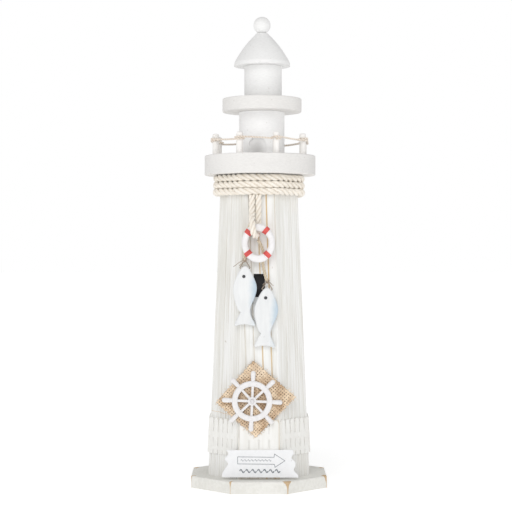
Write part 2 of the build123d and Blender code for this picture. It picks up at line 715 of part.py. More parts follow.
with BuildPart() as centre_dowel:
    with BuildSketch(Plane.XY.offset(DOWEL_LOW)):
        with Locations((DOWEL_X, 0)):
            Circle(DOWEL_DIA / 2)
    extrude(amount=DOWEL_HIGH - DOWEL_LOW)
save("centre_dowel", centre_dowel)

with BuildPart() as ball_pin:
    with BuildSketch(Plane.XY.offset(BALL_PIN_LOW)):
        with Locations((BALL_X, 0)):
            Circle(BALL_PIN_DIA / 2)
    extrude(amount=BALL_PIN_HIGH - BALL_PIN_LOW)
save("ball_pin", ball_pin)

wheel_hub = wheel_plane.origin
print("wheel hub", [round(v, 3) for v in wheel_hub], "axis",
      [round(v, 5) for v in wheel_plane.z_dir])
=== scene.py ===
"""Whitewashed wooden lighthouse with a rope collar, life ring, fish, wheel, fence and sign.

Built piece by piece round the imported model, in metres, front towards -Y.
"""
import random
from math import atan2, cos, floor, pi, radians, sin, sqrt, tan

import bpy
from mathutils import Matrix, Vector, noise


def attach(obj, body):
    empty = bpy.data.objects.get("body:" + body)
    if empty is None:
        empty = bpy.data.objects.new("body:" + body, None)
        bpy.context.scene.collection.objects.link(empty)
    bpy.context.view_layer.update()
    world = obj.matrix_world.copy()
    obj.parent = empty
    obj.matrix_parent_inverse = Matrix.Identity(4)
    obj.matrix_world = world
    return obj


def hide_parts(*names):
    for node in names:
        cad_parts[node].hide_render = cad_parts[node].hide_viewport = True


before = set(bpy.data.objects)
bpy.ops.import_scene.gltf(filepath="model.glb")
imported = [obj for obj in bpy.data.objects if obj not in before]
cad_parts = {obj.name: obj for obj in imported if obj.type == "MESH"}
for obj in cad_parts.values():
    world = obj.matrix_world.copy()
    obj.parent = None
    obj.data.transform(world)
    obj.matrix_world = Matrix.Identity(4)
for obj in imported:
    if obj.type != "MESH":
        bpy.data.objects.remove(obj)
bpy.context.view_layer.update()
MM = 0.001

# ---- studio -------------------------------------------------------------------------------
# A wide white floor, a bright even sky all round, and two large soft lamps in front. The
# camera looks level at the middle of the tower from about a metre away.
FLOOR_R = 14.0
FLOOR_SIDES = 96
FLOOR_DROP = 0.0002
SHEET_WHITE = (0.93, 0.93, 0.93, 1)
GLOW_FROM, GLOW_TO = 0.08, 0.45
GLOW_NEAR, GLOW_FAR = 0.36, 0.52
SKY_STRENGTH = 0.575
LAMP_AIM = Vector((0, 0, 0.18))


def add_node(tree, kind, inputs=None, **settings):
    """Put a node in a tree, with its settings, and its inputs as values or as sockets to link."""
    node = tree.nodes.new(kind)
    for key, value in settings.items():
        setattr(node, key, value)
    for socket, value in (inputs or {}).items():
        if isinstance(value, bpy.types.NodeSocket):
            tree.links.new(value, node.inputs[socket])
        else:
            node.inputs[socket].default_value = value
    return node


def put_in_scene(name, data):
    """Make an object of some data and put it in the scene."""
    thing = bpy.data.objects.new(name, data)
    bpy.context.scene.collection.objects.link(thing)
    return thing


floor_mesh = bpy.data.meshes.new("white_floor")
floor_turns = [2 * pi * n / FLOOR_SIDES for n in range(FLOOR_SIDES)]
floor_mesh.from_pydata([(FLOOR_R * cos(turn), FLOOR_R * sin(turn), -FLOOR_DROP) for turn in floor_turns],
                       [], [tuple(range(FLOOR_SIDES))])
white_floor = put_in_scene("white_floor", floor_mesh)

# the paper glows a little, more so further off, until it meets the sky
paper = bpy.data.materials.new("white_paper")
paper.use_nodes = True
paper_tree = paper.node_tree
paper_shader = paper_tree.nodes["Principled BSDF"]
paper_shader.inputs["Base Color"].default_value = SHEET_WHITE
paper_shader.inputs["Roughness"].default_value = 0.9
paper_shader.inputs["Emission Color"].default_value = (1, 1, 1, 1)
paper_place = add_node(paper_tree, "ShaderNodeNewGeometry")
paper_away = add_node(paper_tree, "ShaderNodeVectorMath", {0: paper_place.outputs["Position"]},
                      operation="LENGTH")
paper_glow = add_node(paper_tree, "ShaderNodeMapRange", {
    "Value": paper_away.outputs["Value"], "From Min": GLOW_FROM, "From Max": GLOW_TO,
    "To Min": GLOW_NEAR, "To Max": GLOW_FAR})
paper_tree.links.new(paper_glow.outputs["Result"], paper_shader.inputs["Emission Strength"])
floor_mesh.materials.append(paper)

# the sky is seen as pure white, and lights the object a little less than that
sky = bpy.data.worlds.new("soft_sky")
sky.use_nodes = True
sky_tree = sky.node_tree
sky_light = sky_tree.nodes["Background"]
sky_light.inputs["Color"].default_value = (1, 1, 1, 1)
sky_light.inputs["Strength"].default_value = SKY_STRENGTH
seen_sky = add_node(sky_tree, "ShaderNodeBackground", {"Color": (1, 1, 1, 1)})
seen = add_node(sky_tree, "ShaderNodeLightPath")
either = add_node(sky_tree, "ShaderNodeMixShader", {
    0: seen.outputs["Is Camera Ray"], 1: sky_light.outputs[0], 2: seen_sky.outputs[0]})
sky_tree.links.new(either.outputs[0], sky_tree.nodes["World Output"].inputs["Surface"])
bpy.context.scene.world = sky


def soft_lamp(name, place, size, watts):
    """Square lamp at a place, aimed at the middle of the tower."""
    lamp = bpy.data.lights.new(name, "AREA")
    lamp.size = size
    lamp.energy = watts
    stand = put_in_scene(name, lamp)
    stand.location = place
    stand.rotation_euler = (LAMP_AIM - Vector(place)).to_track_quat("-Z", "Y").to_euler()


soft_lamp("key_lamp", (-0.30, -1.50, 1.05), 0.9, 8.5)
soft_lamp("fill_lamp", (1.2, -1.3, 0.6), 1.2, 1.5)

camera_data = bpy.data.cameras.new("camera")
camera_data.lens = 100.8
camera_data.sensor_width = 36.0
camera = put_in_scene("camera", camera_data)
camera.location = (-0.00224, -1.107, 0.1754)
camera.rotation_euler = (pi / 2, 0, 0)
bpy.context.scene.camera = camera
bpy.context.scene.view_settings.view_transform = "Standard"

# ---- ring rope ------------------------------------------------------------------------------
# The life ring hangs in a bight of bleached three-strand cotton rope. It comes down from
# the collar, over the ring's front, through the ring, and back up behind it.


def place_on(tree):
    """The place on the object, as a socket."""
    return add_node(tree, "ShaderNodeTexCoord").outputs["Object"]


def grain(tree, place, scale, detail):
    """Noise at a place, as a socket."""
    return add_node(tree, "ShaderNodeTexNoise", {"Vector": place, "Scale": scale,
                                                 "Detail": detail}).outputs["Fac"]


def new_group(name, inputs, outputs):
    """Start a node group with named number inputs and outputs."""
    group = bpy.data.node_groups.new(name, "ShaderNodeTree")
    for socket, value in inputs.items():
        made = group.interface.new_socket(socket, in_out="INPUT", socket_type="NodeSocketFloat")
        made.default_value = value
    for socket in outputs:
        group.interface.new_socket(socket, in_out="OUTPUT", socket_type="NodeSocketFloat")
    return group, group.nodes.new("NodeGroupInput").outputs, group.nodes.new("NodeGroupOutput")


def maths(tree, operation, first, second=0.0, clamp=False):
    """One sum of two numbers or sockets, as a socket."""
    return add_node(tree, "ShaderNodeMath", {0: first, 1: second}, operation=operation,
                    use_clamp=clamp).outputs[0]


def times(tree, first, second, clamp=False):
    """The product of two numbers or sockets, as a socket."""
    return maths(tree, "MULTIPLY", first, second, clamp)


def spread(tree, value, low, high, to_low=0.0, to_high=1.0):
    """Stretch a value between two limits smoothly onto two others, as a socket."""
    return add_node(tree, "ShaderNodeMapRange", {"Value": value, "From Min": low, "From Max": high,
                                                 "To Min": to_low, "To Max": to_high},
                    interpolation_type="SMOOTHSTEP").outputs["Result"]


def tint(tree, mask, first, second):
    """Mix two colours, or sockets of colour, by a mask, as a socket."""
    mix = add_node(tree, "ShaderNodeMix", {"Factor": mask}, data_type="RGBA")
    for index, colour in ((6, first), (7, second)):
        if isinstance(colour, bpy.types.NodeSocket):
            tree.links.new(colour, mix.inputs[index])
        else:
            mix.inputs[index].default_value = (*colour, 1)
    return mix.outputs[2]


def new_material(name, bump_mm, **shader):
    """Start a material, with the shader's plain values and a bump node of a depth in mm."""
    material = bpy.data.materials.new(name)
    material.use_nodes = True
    tree = material.node_tree
    surface = tree.nodes["Principled BSDF"]
    for socket, value in shader.items():
        surface.inputs[socket.replace("_", " ")].default_value = value
    bump = add_node(tree, "ShaderNodeBump", {"Distance": bump_mm * MM, "Strength": 1.0})
    tree.links.new(bump.outputs["Normal"], surface.inputs["Normal"])
    return material, tree, surface, bump


def wire(tree, surface, colour, rough, bump=None, height=None):
    """Link a material's colour and roughness, and the height of its bump."""
    tree.links.new(colour, surface.inputs["Base Color"])
    tree.links.new(rough, surface.inputs["Roughness"])
    if bump:
        tree.links.new(height, bump.inputs["Height"])


def attribute(tree, name):
    """A number stored on the mesh, as a socket."""
    return add_node(tree, "ShaderNodeAttribute", attribute_name=name).outputs["Fac"]


# fibres that run along a yarn or strand, and the shade between them
fibres, given, result = new_group("fibres", {"Fibres Round": 9.0, "Slant": 0.5, "Mess": 1.0},
                                  ["Height", "Shade"])
along = attribute(fibres, "along")
around = attribute(fibres, "around")
slanted = maths(fibres, "ADD", around, times(fibres, along, given["Slant"]))
across = times(fibres, slanted, given["Fibres Round"])
place = add_node(fibres, "ShaderNodeCombineXYZ", {"X": across, "Y": times(fibres, along, 0.35)})
fine = grain(fibres, place.outputs[0], 1.0, 3.0)
spot = place_on(fibres)
rough = grain(fibres, spot, 900.0, 2.0)
patchy = grain(fibres, spot, 160.0, 2.0)
fibres.links.new(maths(fibres, "ADD", fine, times(fibres, rough, given["Mess"])),
                 result.inputs["Height"])
fibres.links.new(maths(fibres, "ADD", times(fibres, fine, 0.55), times(fibres, patchy, 0.45)),
                 result.inputs["Shade"])


def fibre_material(name, light, dark, valley_shade, bump_mm, fibres_round, rough):
    """Rope, cord or thread: fibres along each strand, with shade painted darker down between the strands.
    """
    material, tree, surface, bump = new_material(name, bump_mm, Sheen_Weight=0.25,
                                                 Sheen_Roughness=0.6)
    laid = add_node(tree, "ShaderNodeGroup", node_tree=fibres).outputs
    tree.nodes[-1].inputs["Fibres Round"].default_value = fibres_round
    body = tint(tree, spread(tree, laid["Shade"], 0.34, 0.66), dark, light)
    # painted shade: the sides of each strand that face into the rope are tinted towards the valley shade
    # colour
    valleys = spread(tree, attribute(tree, "depth"), 0.25, 0.95)
    wire(tree, surface, tint(tree, valleys, body, valley_shade),
         spread(tree, laid["Shade"], 0.3, 0.7, rough, rough - 0.12), bump, laid["Height"])
    return material


def link_mesh(name, corners, faces, material, numbers=None, smooth=True):
    """Make an object from corners and faces, with numbers stored on its corners."""
    mesh = bpy.data.meshes.new(name)
    mesh.from_pydata([tuple(c) for c in corners], [], faces)
    for label, values in (numbers or {}).items():
        layer = mesh.attributes.new(label, "FLOAT", "POINT")
        layer.data.foreach_set("value", values)
    mesh.materials.append(material)
    mesh.update()
    for face in mesh.polygons:
        face.use_smooth = smooth
    return put_in_scene(name, mesh)


def spline_points(route):
    """Points along the smooth spline that a route's points control."""
    curve = bpy.data.curves.new("route", "CURVE")
    curve.dimensions = "3D"
    curve.resolution_u = 16
    spline = curve.splines.new("NURBS")
    spline.points.add(len(route) - 1)
    for point, place in zip(spline.points, route):
        point.co = (*[v * MM for v in place], 1)
    spline.order_u = 3
    spline.use_endpoint_u = True
    carrier = put_in_scene("route", curve)
    bpy.context.view_layer.update()
    line = bpy.data.meshes.new_from_object(carrier)
    points = [v.co.copy() for v in line.vertices]
    bpy.data.objects.remove(carrier)
    bpy.data.meshes.remove(line)
    return points


def even_points(points, gap):
    """The same line with its points an even gap apart."""
    lengths = [0.0]
    for before, here in zip(points, points[1:]):
        lengths.append(lengths[-1] + (here - before).length)
    count = max(2, round(lengths[-1] / gap))
    placed = []
    n = 0
    for step in range(count + 1):
        want = lengths[-1] * step / count
        while n < len(points) - 2 and lengths[n + 1] < want:
            n += 1
        share = (want - lengths[n]) / max(lengths[n + 1] - lengths[n], 1e-9)
        placed.append(points[n].lerp(points[n + 1], min(share, 1.0)))
    return placed


def rings_along(points):
    """Tangent and two steady cross directions at each point of a line."""
    count = len(points)
    tangents = [(points[min(n + 1, count - 1)] - points[max(n - 1, 0)]).normalized()
                for n in range(count)]
    side = tangents[0].orthogonal().normalized()
    frames = []
    for tangent in tangents:
        side = (side - tangent * side.dot(tangent)).normalized()
        frames.append((side, tangent.cross(side)))
    return frames


def tube_parts(points, radius, sides, corners, faces, numbers, depths):
    """Add a closed tube along a line to a growing mesh, with its fibre numbers."""
    first = len(corners)
    travelled = 0.0
    for n, (point, (side, other)) in enumerate(zip(points, rings_along(points))):
        travelled += (point - points[n - 1]).length / MM if n else 0.0
        swell = 1 + 0.05 * noise.noise(point * 300)
        for k in range(sides):
            turn = 2 * pi * k / sides
            out = side * cos(turn) + other * sin(turn)
            corners.append(point + out * radius * swell)
            numbers["along"].append(travelled)
            numbers["around"].append(abs(2 * k / sides - 1))
            numbers["depth"].append(depths(n, out))
    for n in range(len(points) - 1):
        for k in range(sides):
            a = first + n * sides + k
            b = first + n * sides + (k + 1) % sides
            faces.append((a, b, b + sides, a + sides))
    faces.append(tuple(first + k for k in reversed(range(sides))))
    faces.append(tuple(first + (len(points) - 1) * sides + k for k in range(sides)))


PACKING = {2: 0.5, 3: 0.464}
STRAND_FAT = 1.03


def fibre_numbers():
    """Empty lists of the numbers that fibres follow: how far along, round and down they are."""
    return {"along": [], "around": [], "depth": []}


def laid_rope(name, centre, diameter, lay, strands, sides, material):
    """Rope of several strands laid right-handed round a centre line."""
    strand_r = diameter / 2 * PACKING[strands]
    orbit = diameter / 2 - strand_r
    frames = rings_along(centre)
    corners, faces = [], []
    numbers = fibre_numbers()
    for strand in range(strands):
        travelled = 0.0
        line, outward = [], []
        for n, (point, (side, other)) in enumerate(zip(centre, frames)):
            travelled += (point - centre[n - 1]).length if n else 0.0
            turn = 2 * pi * (travelled / lay + strand / strands)
            out = side * cos(turn) + other * sin(turn)
            line.append(point + out * orbit)
            outward.append(out)
        tube_parts(line, strand_r * STRAND_FAT, sides, corners, faces, numbers,
                   lambda n, out: 0.5 - 0.5 * out.dot(outward[n]))
    return link_mesh(name, corners, faces, material, numbers)


def stand_in(piece, body, node):
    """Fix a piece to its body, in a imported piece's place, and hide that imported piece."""
    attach(piece, body)
    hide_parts(node)


# painted shade: the third colour is tinted in down between the rope's strands
rope_fibre = fibre_material("rope_fibre", (0.91, 0.86, 0.78), (0.83, 0.765, 0.67),
                            (0.80, 0.72, 0.62), 0.10, 9.0, 0.85)
ROPE_LAY = 15.5 * MM
LOOP_DIA = 4.8
LOOP_ROUTE = [(-5.1, -32.2, 221.2), (-5.25, -32.9, 207.8), (-5.2, -44.5, 201.2),
              (-4.0, -44.5, 190.6), (-1.2, -33.9, 190.2), (-0.35, -33.8, 201.5),
              (-0.3, -32.2, 221.2)]
loop_line = even_points(spline_points(LOOP_ROUTE), 0.55 * MM)
ring_bight = laid_rope("ring_bight", loop_line, LOOP_DIA * MM, ROPE_LAY, 3, 12, rope_fibre)
stand_in(ring_bight, "tower", "ring_rope")

# ---- fish cords -------------------------------------------------------------------------------
# Each fish hangs on a short length of twisted jute cord. The cords come out behind the
# life ring, and each ends in the thread that goes through its fish's mouth.
# painted shade: the third colours are tinted in down between the strands
cord_fibre = fibre_material("cord_fibre", (0.80, 0.72, 0.57), (0.60, 0.49, 0.34),
                            (0.30, 0.21, 0.12), 0.08, 7.0, 0.9)
thread_fibre = fibre_material("thread_fibre", (0.46, 0.37, 0.28), (0.26, 0.20, 0.15),
                              (0.12, 0.09, 0.07), 0.04, 6.0, 0.8)
CORD_DIA = 2.4
CORD_LAY = 6.6 * MM
CORD_GAP = 0.32
FISH_CORDS = {
    "left": [(-5.4, -33.0, 202.4), (-7.2, -33.4, 197.2), (-10.0, -33.9, 191.3),
             (-11.2, -34.2, 184.3), (-11.1, -34.4, 177.9), (-10.5, -34.6, 172.4)],
    "right": [(-0.6, -34.4, 187.3), (1.9, -34.3, 183.2), (3.3, -34.3, 177.8),
              (2.6, -34.4, 169.4), (4.4, -34.8, 161.9), (5.9, -35.2, 156.4)],
}

# The thread goes across through the mouth, up both cheeks, and is knotted under the cord.
THREAD_R = 0.31
KNOT_R = 0.55
KNOT_SIZE = 0.42
KNOT_STEPS = 72
TAIL_R = 0.24
KNOT_UP = 4.6
MOUTH_HOLE_DEPTH = 2.3
THREAD_LEG = 4.2
STAVE_LOW, STAVE_HIGH = 9.0, 237.5
FOOT_ACROSS, TOP_ACROSS = 76.9, 57.9
TAPER = (FOOT_ACROSS - TOP_ACROSS) / 2 / (STAVE_HIGH - STAVE_LOW)
LEAN = atan2(TAPER, 1)
FACE_OUT = Vector((0, -cos(LEAN), sin(LEAN)))
FACE_UP = Vector((0, sin(LEAN), cos(LEAN)))


def front_distance(z):
    """Distance in mm from the tower's axis to its front face at a height."""
    return FOOT_ACROSS / 2 - TAPER * (z - STAVE_LOW)


def on_front(x, z_origin, up, proud):
    """Point in metres on the front face: across, up the face from a height, and off it."""
    return (Vector((x, -front_distance(z_origin), z_origin)) + FACE_UP * up
            + FACE_OUT * proud) * MM


FISH_GAP = 0.4
FISH_THICK = 5.0
FISH_MOUTHS = {"left": (-10.5, 167.8, 0.0), "right": (6.1, 151.8, radians(-2.4))}
THREAD_ENDS = {
    "left": [[(-1.0, 4.2, 0.8), (-3.2, 3.4, 1.6), (-5.6, 1.6, 1.2), (-8.6, -0.6, 0.6)],
             [(-0.6, 4.0, 1.0), (-2.0, 1.6, 2.2), (-4.4, 0.2, 2.4)]],
    "right": [[(0.8, 4.4, 0.9), (2.2, 3.6, 1.6), (3.6, 2.0, 1.4), (4.6, 1.6, 0.8)],
              [(-0.6, 4.3, 1.0), (-2.4, 3.4, 1.9), (-3.4, 1.4, 2.0)]],
}


def mouth_point(side, x, up, proud):
    """Point in metres by a fish's mouth, x across it, up past it and off its middle plane."""
    mouth_x, mouth_z, tilt = FISH_MOUTHS[side]
    turned_x = x * cos(tilt) - up * sin(tilt)
    turned_up = x * sin(tilt) + up * cos(tilt)
    return on_front(mouth_x + turned_x, mouth_z, turned_up, FISH_GAP + FISH_THICK / 2 + proud)


def smooth_loop(points, rounds):
    """Cut the corners of a closed loop, a few times over."""
    for _ in range(rounds):
        cut = []
        for here, after in zip(points, points[1:] + points[:1]):
            cut += [here.lerp(after, 0.25), here.lerp(after, 0.75)]
        points = cut
    return points


def thread_depth(n, out):
    """Thin thread has no valleys: the same slight shade all over."""
    return 0.2


for side, route in FISH_CORDS.items():
    cord_line = even_points(spline_points(route), CORD_GAP * MM)
    hanging = laid_rope(f"hanging_cord_{side}", cord_line, CORD_DIA * MM, CORD_LAY, 3, 10, cord_fibre)
    corners, faces = [], []
    numbers = fibre_numbers()
    for grow, shift in ((1.0, 0.0), (1.06, 0.75)):
        cheek = [(THREAD_LEG * grow, -MOUTH_HOLE_DEPTH + shift * 0.2, shift * 0.2),
                 (THREAD_LEG * 0.72, 0.2, shift * 0.6), (0.7, KNOT_UP - 0.9, shift * 0.5)]
        other_cheek = [(-x, up, proud) for x, up, proud in reversed(cheek)]
        ring = smooth_loop([mouth_point(side, *place) for place in cheek + other_cheek], 3)
        tube_parts(even_points(ring + ring[:1], 0.35 * MM), THREAD_R * MM, 8,
                   corners, faces, numbers, thread_depth)
    knot = []
    for step in range(KNOT_STEPS):
        turn = 2 * pi * step / KNOT_STEPS
        knot.append(mouth_point(side, KNOT_SIZE * (sin(turn) + 2 * sin(2 * turn)),
                                KNOT_UP + KNOT_SIZE * (cos(turn) - 2 * cos(2 * turn)),
                                -0.5 * sin(3 * turn)))
    tube_parts(knot + knot[:1], KNOT_R * MM, 8, corners, faces, numbers, thread_depth)
    for end in THREAD_ENDS[side]:
        tail = [mouth_point(side, *place) / MM for place in end]
        tube_parts(even_points(spline_points(tail), 0.3 * MM), TAIL_R * MM, 7,
                   corners, faces, numbers, thread_depth)
    mouth_thread = link_mesh(f"mouth_thread_{side}", corners, faces, thread_fibre, numbers)
    stand_in(mouth_thread, f"{side}_cord", f"fish_tie_{side}")
    stand_in(hanging, f"{side}_cord", f"fish_cord_{side}")

# ---- base board -------------------------------------------------------------------------------
# Eight-sided board of 9 mm softwood under the tower, painted white like the rest. Handling
# has rubbed its upright corners back to brown wood, most at the top of each corner.

# brushed white paint: soft broad unevenness, fine brush lines one way, and a few specks
brushing, given, result = new_group("brushing", {"Lines Up": 1.0, "Fineness": 1.0},
                                    ["Tone", "Height", "Specks"])
spot = place_on(brushing)
squeeze = add_node(brushing, "ShaderNodeCombineXYZ", {
    "X": given["Fineness"], "Y": given["Fineness"], "Z": given["Lines Up"]})
stretched = add_node(brushing, "ShaderNodeVectorMath", {0: spot, 1: squeeze.outputs[0]},
                     operation="MULTIPLY")
lines = grain(brushing, stretched.outputs[0], 420.0, 3.0)
broad = grain(brushing, spot, 38.0, 4.0)
pores = grain(brushing, spot, 620.0, 1.0)
brushing.links.new(maths(brushing, "ADD", times(brushing, lines, 0.55), times(brushing, broad, 0.45)),
                   result.inputs["Tone"])
brushing.links.new(maths(brushing, "ADD", lines, times(brushing, broad, 0.8)), result.inputs["Height"])
brushing.links.new(spread(brushing, pores, 0.74, 0.8), result.inputs["Specks"])


def paint_parts(name, light, shade, speck, bump_mm, lines_up, rough):
    """White paint on wood, brushed one way, with a few specks of dirt in its pores.

    Gives the material, and its tree, shader and colour socket for marks to be laid over.
    """
    material, tree, surface, bump = new_material(name, bump_mm)
    group = add_node(tree, "ShaderNodeGroup", node_tree=brushing)
    group.inputs["Lines Up"].default_value = lines_up
    coat = tint(tree, spread(tree, group.outputs["Tone"], 0.36, 0.64), shade, light)
    marked = tint(tree, times(tree, group.outputs["Specks"], 0.55), coat, speck)
    wire(tree, surface, marked, spread(tree, group.outputs["Tone"], 0.35, 0.65, rough, rough - 0.1),
         bump, group.outputs["Height"])
    return material, tree, surface, marked


def plain_paint(*look):
    """Brushed paint with nothing laid over it."""
    return paint_parts(*look)[0]


def finish_node(node, material):
    """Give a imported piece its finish."""
    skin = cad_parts[node].data.materials
    skin.clear()
    skin.append(material)


WOOD_BROWN = (0.50, 0.33, 0.17)
WOOD_PALE = (0.68, 0.52, 0.33)
BASE_HIGH = STAVE_LOW * MM
CORNER_REACH = 55.6 * MM
SIDE_REACH = 51.2 * MM
WEAR_LEAST, WEAR_GROWTH = 0.45 * MM, 2.3 * MM
base_paint, tree, surface, painted = paint_parts(
    "base_paint", (0.84, 0.83, 0.79), (0.77, 0.76, 0.715), (0.5, 0.44, 0.36), 0.12, 1.0, 0.75)
spot = place_on(tree)
axes = add_node(tree, "ShaderNodeSeparateXYZ", {0: spot}).outputs
bearing = maths(tree, "SUBTRACT", maths(tree, "ARCTAN2", axes["Y"], axes["X"]), pi / 8)
from_corner = times(tree, maths(tree, "PINGPONG", bearing, pi / 8), CORNER_REACH)
high = maths(tree, "DIVIDE", axes["Z"], BASE_HIGH)
flare = maths(tree, "ADD", times(tree, maths(tree, "POWER", high, 3.0), WEAR_GROWTH), WEAR_LEAST)
ragged = maths(tree, "ADD", grain(tree, spot, 260.0, 4.0), 0.45)
uneven = spread(tree, grain(tree, spot, 21.0, 1.0), 0.38, 0.6, 0.35, 1.3)
worn_width = times(tree, flare, times(tree, ragged, uneven))
level = add_node(tree, "ShaderNodeVectorMath", {0: spot, 1: (1, 1, 0)}, operation="MULTIPLY")
rim = add_node(tree, "ShaderNodeVectorMath", {0: level.outputs[0]}, operation="LENGTH")
outer = spread(tree, rim.outputs["Value"], SIDE_REACH, SIDE_REACH + MM)
inside = spread(tree, maths(tree, "SUBTRACT", worn_width, from_corner), -0.25 * MM, 0.35 * MM)
worn = times(tree, inside, outer, clamp=True)
bare = tint(tree, grain(tree, spot, 700.0, 2.0), WOOD_BROWN, WOOD_PALE)
tree.links.new(tint(tree, worn, painted, bare), surface.inputs["Base Color"])
finish_node("base_plate", base_paint)

# ---- base screws --------------------------------------------------------------------------------
# Two zinc-plated countersunk wood screws. They go up through the base board, their heads
# let into its underside, and into the block in the foot of the tower.


def mottled(name, bump_mm, scale, detail, colours, colour_span, roughs, squash=1.0, **shader):
    """Material whose colour, roughness and bump all follow one noise."""
    material, tree, surface, bump = new_material(name, bump_mm, **shader)
    drawn = add_node(tree, "ShaderNodeMapping", {"Vector": place_on(tree), "Scale": (1, 1, squash)})
    mottle = grain(tree, drawn.outputs[0], scale, detail)
    mask = spread(tree, mottle, *colour_span) if colour_span else mottle
    wire(tree, surface, tint(tree, mask, *colours), spread(tree, mottle, 0.3, 0.7, *roughs),
         bump, mottle)
    return material


zinc = mottled("zinc_plate", 0.02, 900.0, 3.0, ((0.5, 0.5, 0.48), (0.72, 0.72, 0.7)), None,
               (0.25, 0.5), Metallic=1.0)
finish_node("base_screws", zinc)

# ---- blocks, dowel and pin ----------------------------------------------------------------------
# The bare softwood inside: two eight-sided blocks that the staves are glued to, the dowel
# that the decks and lanterns are threaded on, and the pin in the ball.
bare_wood = mottled("bare_wood", 0.08, 420.0, 4.0, (WOOD_PALE, (0.80, 0.66, 0.46)), (0.35, 0.65),
                    (0.8, 0.65), squash=0.06)
for node in ("bottom_block", "top_block", "centre_dowel", "ball_pin"):
    finish_node(node, bare_wood)

# ---- tower staves -------------------------------------------------------------------------------
# Eight tapered boards with mitred edges, glued into a tube and whitewashed. Seven are
# combed with fine upright grooves. The front one is laid in narrow strips, with bare wood
# in its joints, and has the window cut through it.
whitewash, tree, surface, bump = new_material("whitewash", 0.10)
spot = place_on(tree)
upright = add_node(tree, "ShaderNodeMapping", {"Vector": spot, "Scale": (1.0, 1.0, 0.035)}).outputs[0]
streaks = grain(tree, upright, 520.0, 4.0)
wide_streaks = grain(tree, upright, 110.0, 2.0)
tone = maths(tree, "ADD", times(tree, streaks, 0.5), times(tree, wide_streaks, 0.5))
wash = tint(tree, spread(tree, tone, 0.38, 0.6), (0.76, 0.75, 0.71), (0.87, 0.87, 0.855))
clouds = spread(tree, grain(tree, spot, 26.0, 3.0), 0.55, 0.75, 0.0, 0.4)
wash = tint(tree, clouds, wash, (0.83, 0.80, 0.745))
# painted shade: down in the comb grooves and the strips' joints the wash is tinted a darker grey
combed = times(tree, attribute(tree, "groove"), spread(tree, streaks, 0.35, 0.6, 0.45, 0.85))
wash = tint(tree, combed, wash, (0.60, 0.57, 0.50))
knots = spread(tree, grain(tree, spot, 150.0, 0.0), 0.83, 0.86, 0.0, 0.55)
wash = tint(tree, knots, wash, (0.45, 0.38, 0.30))
rubbed = times(tree, attribute(tree, "bare"), spread(tree, wide_streaks, 0.3, 0.55, 0.55, 1.0))
raw = tint(tree, streaks, (0.58, 0.39, 0.17), (0.80, 0.62, 0.36))
wire(tree, surface, tint(tree, rubbed, wash, raw), spread(tree, tone, 0.35, 0.65, 0.82, 0.66),
     bump, maths(tree, "ADD", streaks, times(tree, wide_streaks, 0.7)))

STAVE_THICK = 6.0
HALF_SIDE = radians(22.5)
HALF_TAN = tan(HALF_SIDE)
WINDOW_LEFT, WINDOW_RIGHT, WINDOW_LOW, WINDOW_TOP = -4.0, 4.5, 144.5, 162.0
FENCE_FOOT, FENCE_TALL = 26.0, 27.0
FENCE_TOP = FENCE_FOOT + FENCE_TALL
COMB_REACH = 15.2
COMB_MARGIN = 0.9
EDGE_SHARE = 0.985


def comb_grooves(seed):
    """Grooves across one board, each a middle, half width, depth and phase, in mm."""
    chance = random.Random(seed)
    grooves = []
    x = -COMB_REACH
    while x < COMB_REACH:
        narrow = chance.random() < 0.65
        grooves.append((x, chance.uniform(0.18, 0.3) if narrow else chance.uniform(0.35, 0.6),
                        chance.uniform(0.16, 0.34) if narrow else chance.uniform(0.3, 0.5),
                        chance.uniform(0, 50)))
        x += chance.uniform(1.3, 2.2) if narrow else chance.uniform(2.0, 3.6)
    return grooves


def combed_columns(grooves, half_mean):
    """Column places across a board, as shares of its half width, and which groove each is in."""
    columns = [(-1.0, None, 0), (-EDGE_SHARE, None, 0)]
    for number, groove in enumerate(grooves):
        middle, half_width = groove[:2]
        if abs(middle) <= half_mean - COMB_MARGIN:
            columns += [((middle + part * half_width) / half_mean, number, part)
                        for part in (-1.0, -0.5, 0.0, 0.5, 1.0)]
    columns += [(EDGE_SHARE, None, 0), (1.0, None, 0)]
    return sorted(columns, key=lambda column: column[0])


def groove_fade(phase, z, seed):
    """How deep a comb groove runs at a height, 0 to 1."""
    wave = noise.noise(Vector((phase, z / 42.0, seed)))
    return max(0.0, min(1.0, 0.62 + 1.1 * wave))


def grid_border(left, right, low, top, wide):
    """Corner numbers round a rectangle of a grid, from its low left corner to the right."""
    border = [low * wide + column for column in range(left, right + 1)]
    border += [row * wide + right for row in range(low + 1, top + 1)]
    border += [top * wide + column for column in range(right - 1, left - 1, -1)]
    border += [row * wide + left for row in range(top - 1, low, -1)]
    return border


def grid_faces(wide, tall, hole=None):
    """Faces of a closed sheet made of two like grids of corners, with a hole cut through."""
    back = wide * tall
    faces = []
    for row in range(tall - 1):
        for column in range(wide - 1):
            if hole and hole[0] <= column < hole[1] and hole[2] <= row < hole[3]:
                continue
            a = row * wide + column
            faces.append((a, a + 1, a + 1 + wide, a + wide))
            faces.append((a + back, a + wide + back, a + 1 + wide + back, a + 1 + back))
    rim = grid_border(0, wide - 1, 0, tall - 1, wide)
    faces += [(b, a, a + back, b + back) for a, b in zip(rim, rim[1:] + rim[:1])]
    if hole:
        edge = grid_border(*hole, wide)
        faces += [(a, b, b + back, a + back) for a, b in zip(edge, edge[1:] + edge[:1])]
    return faces


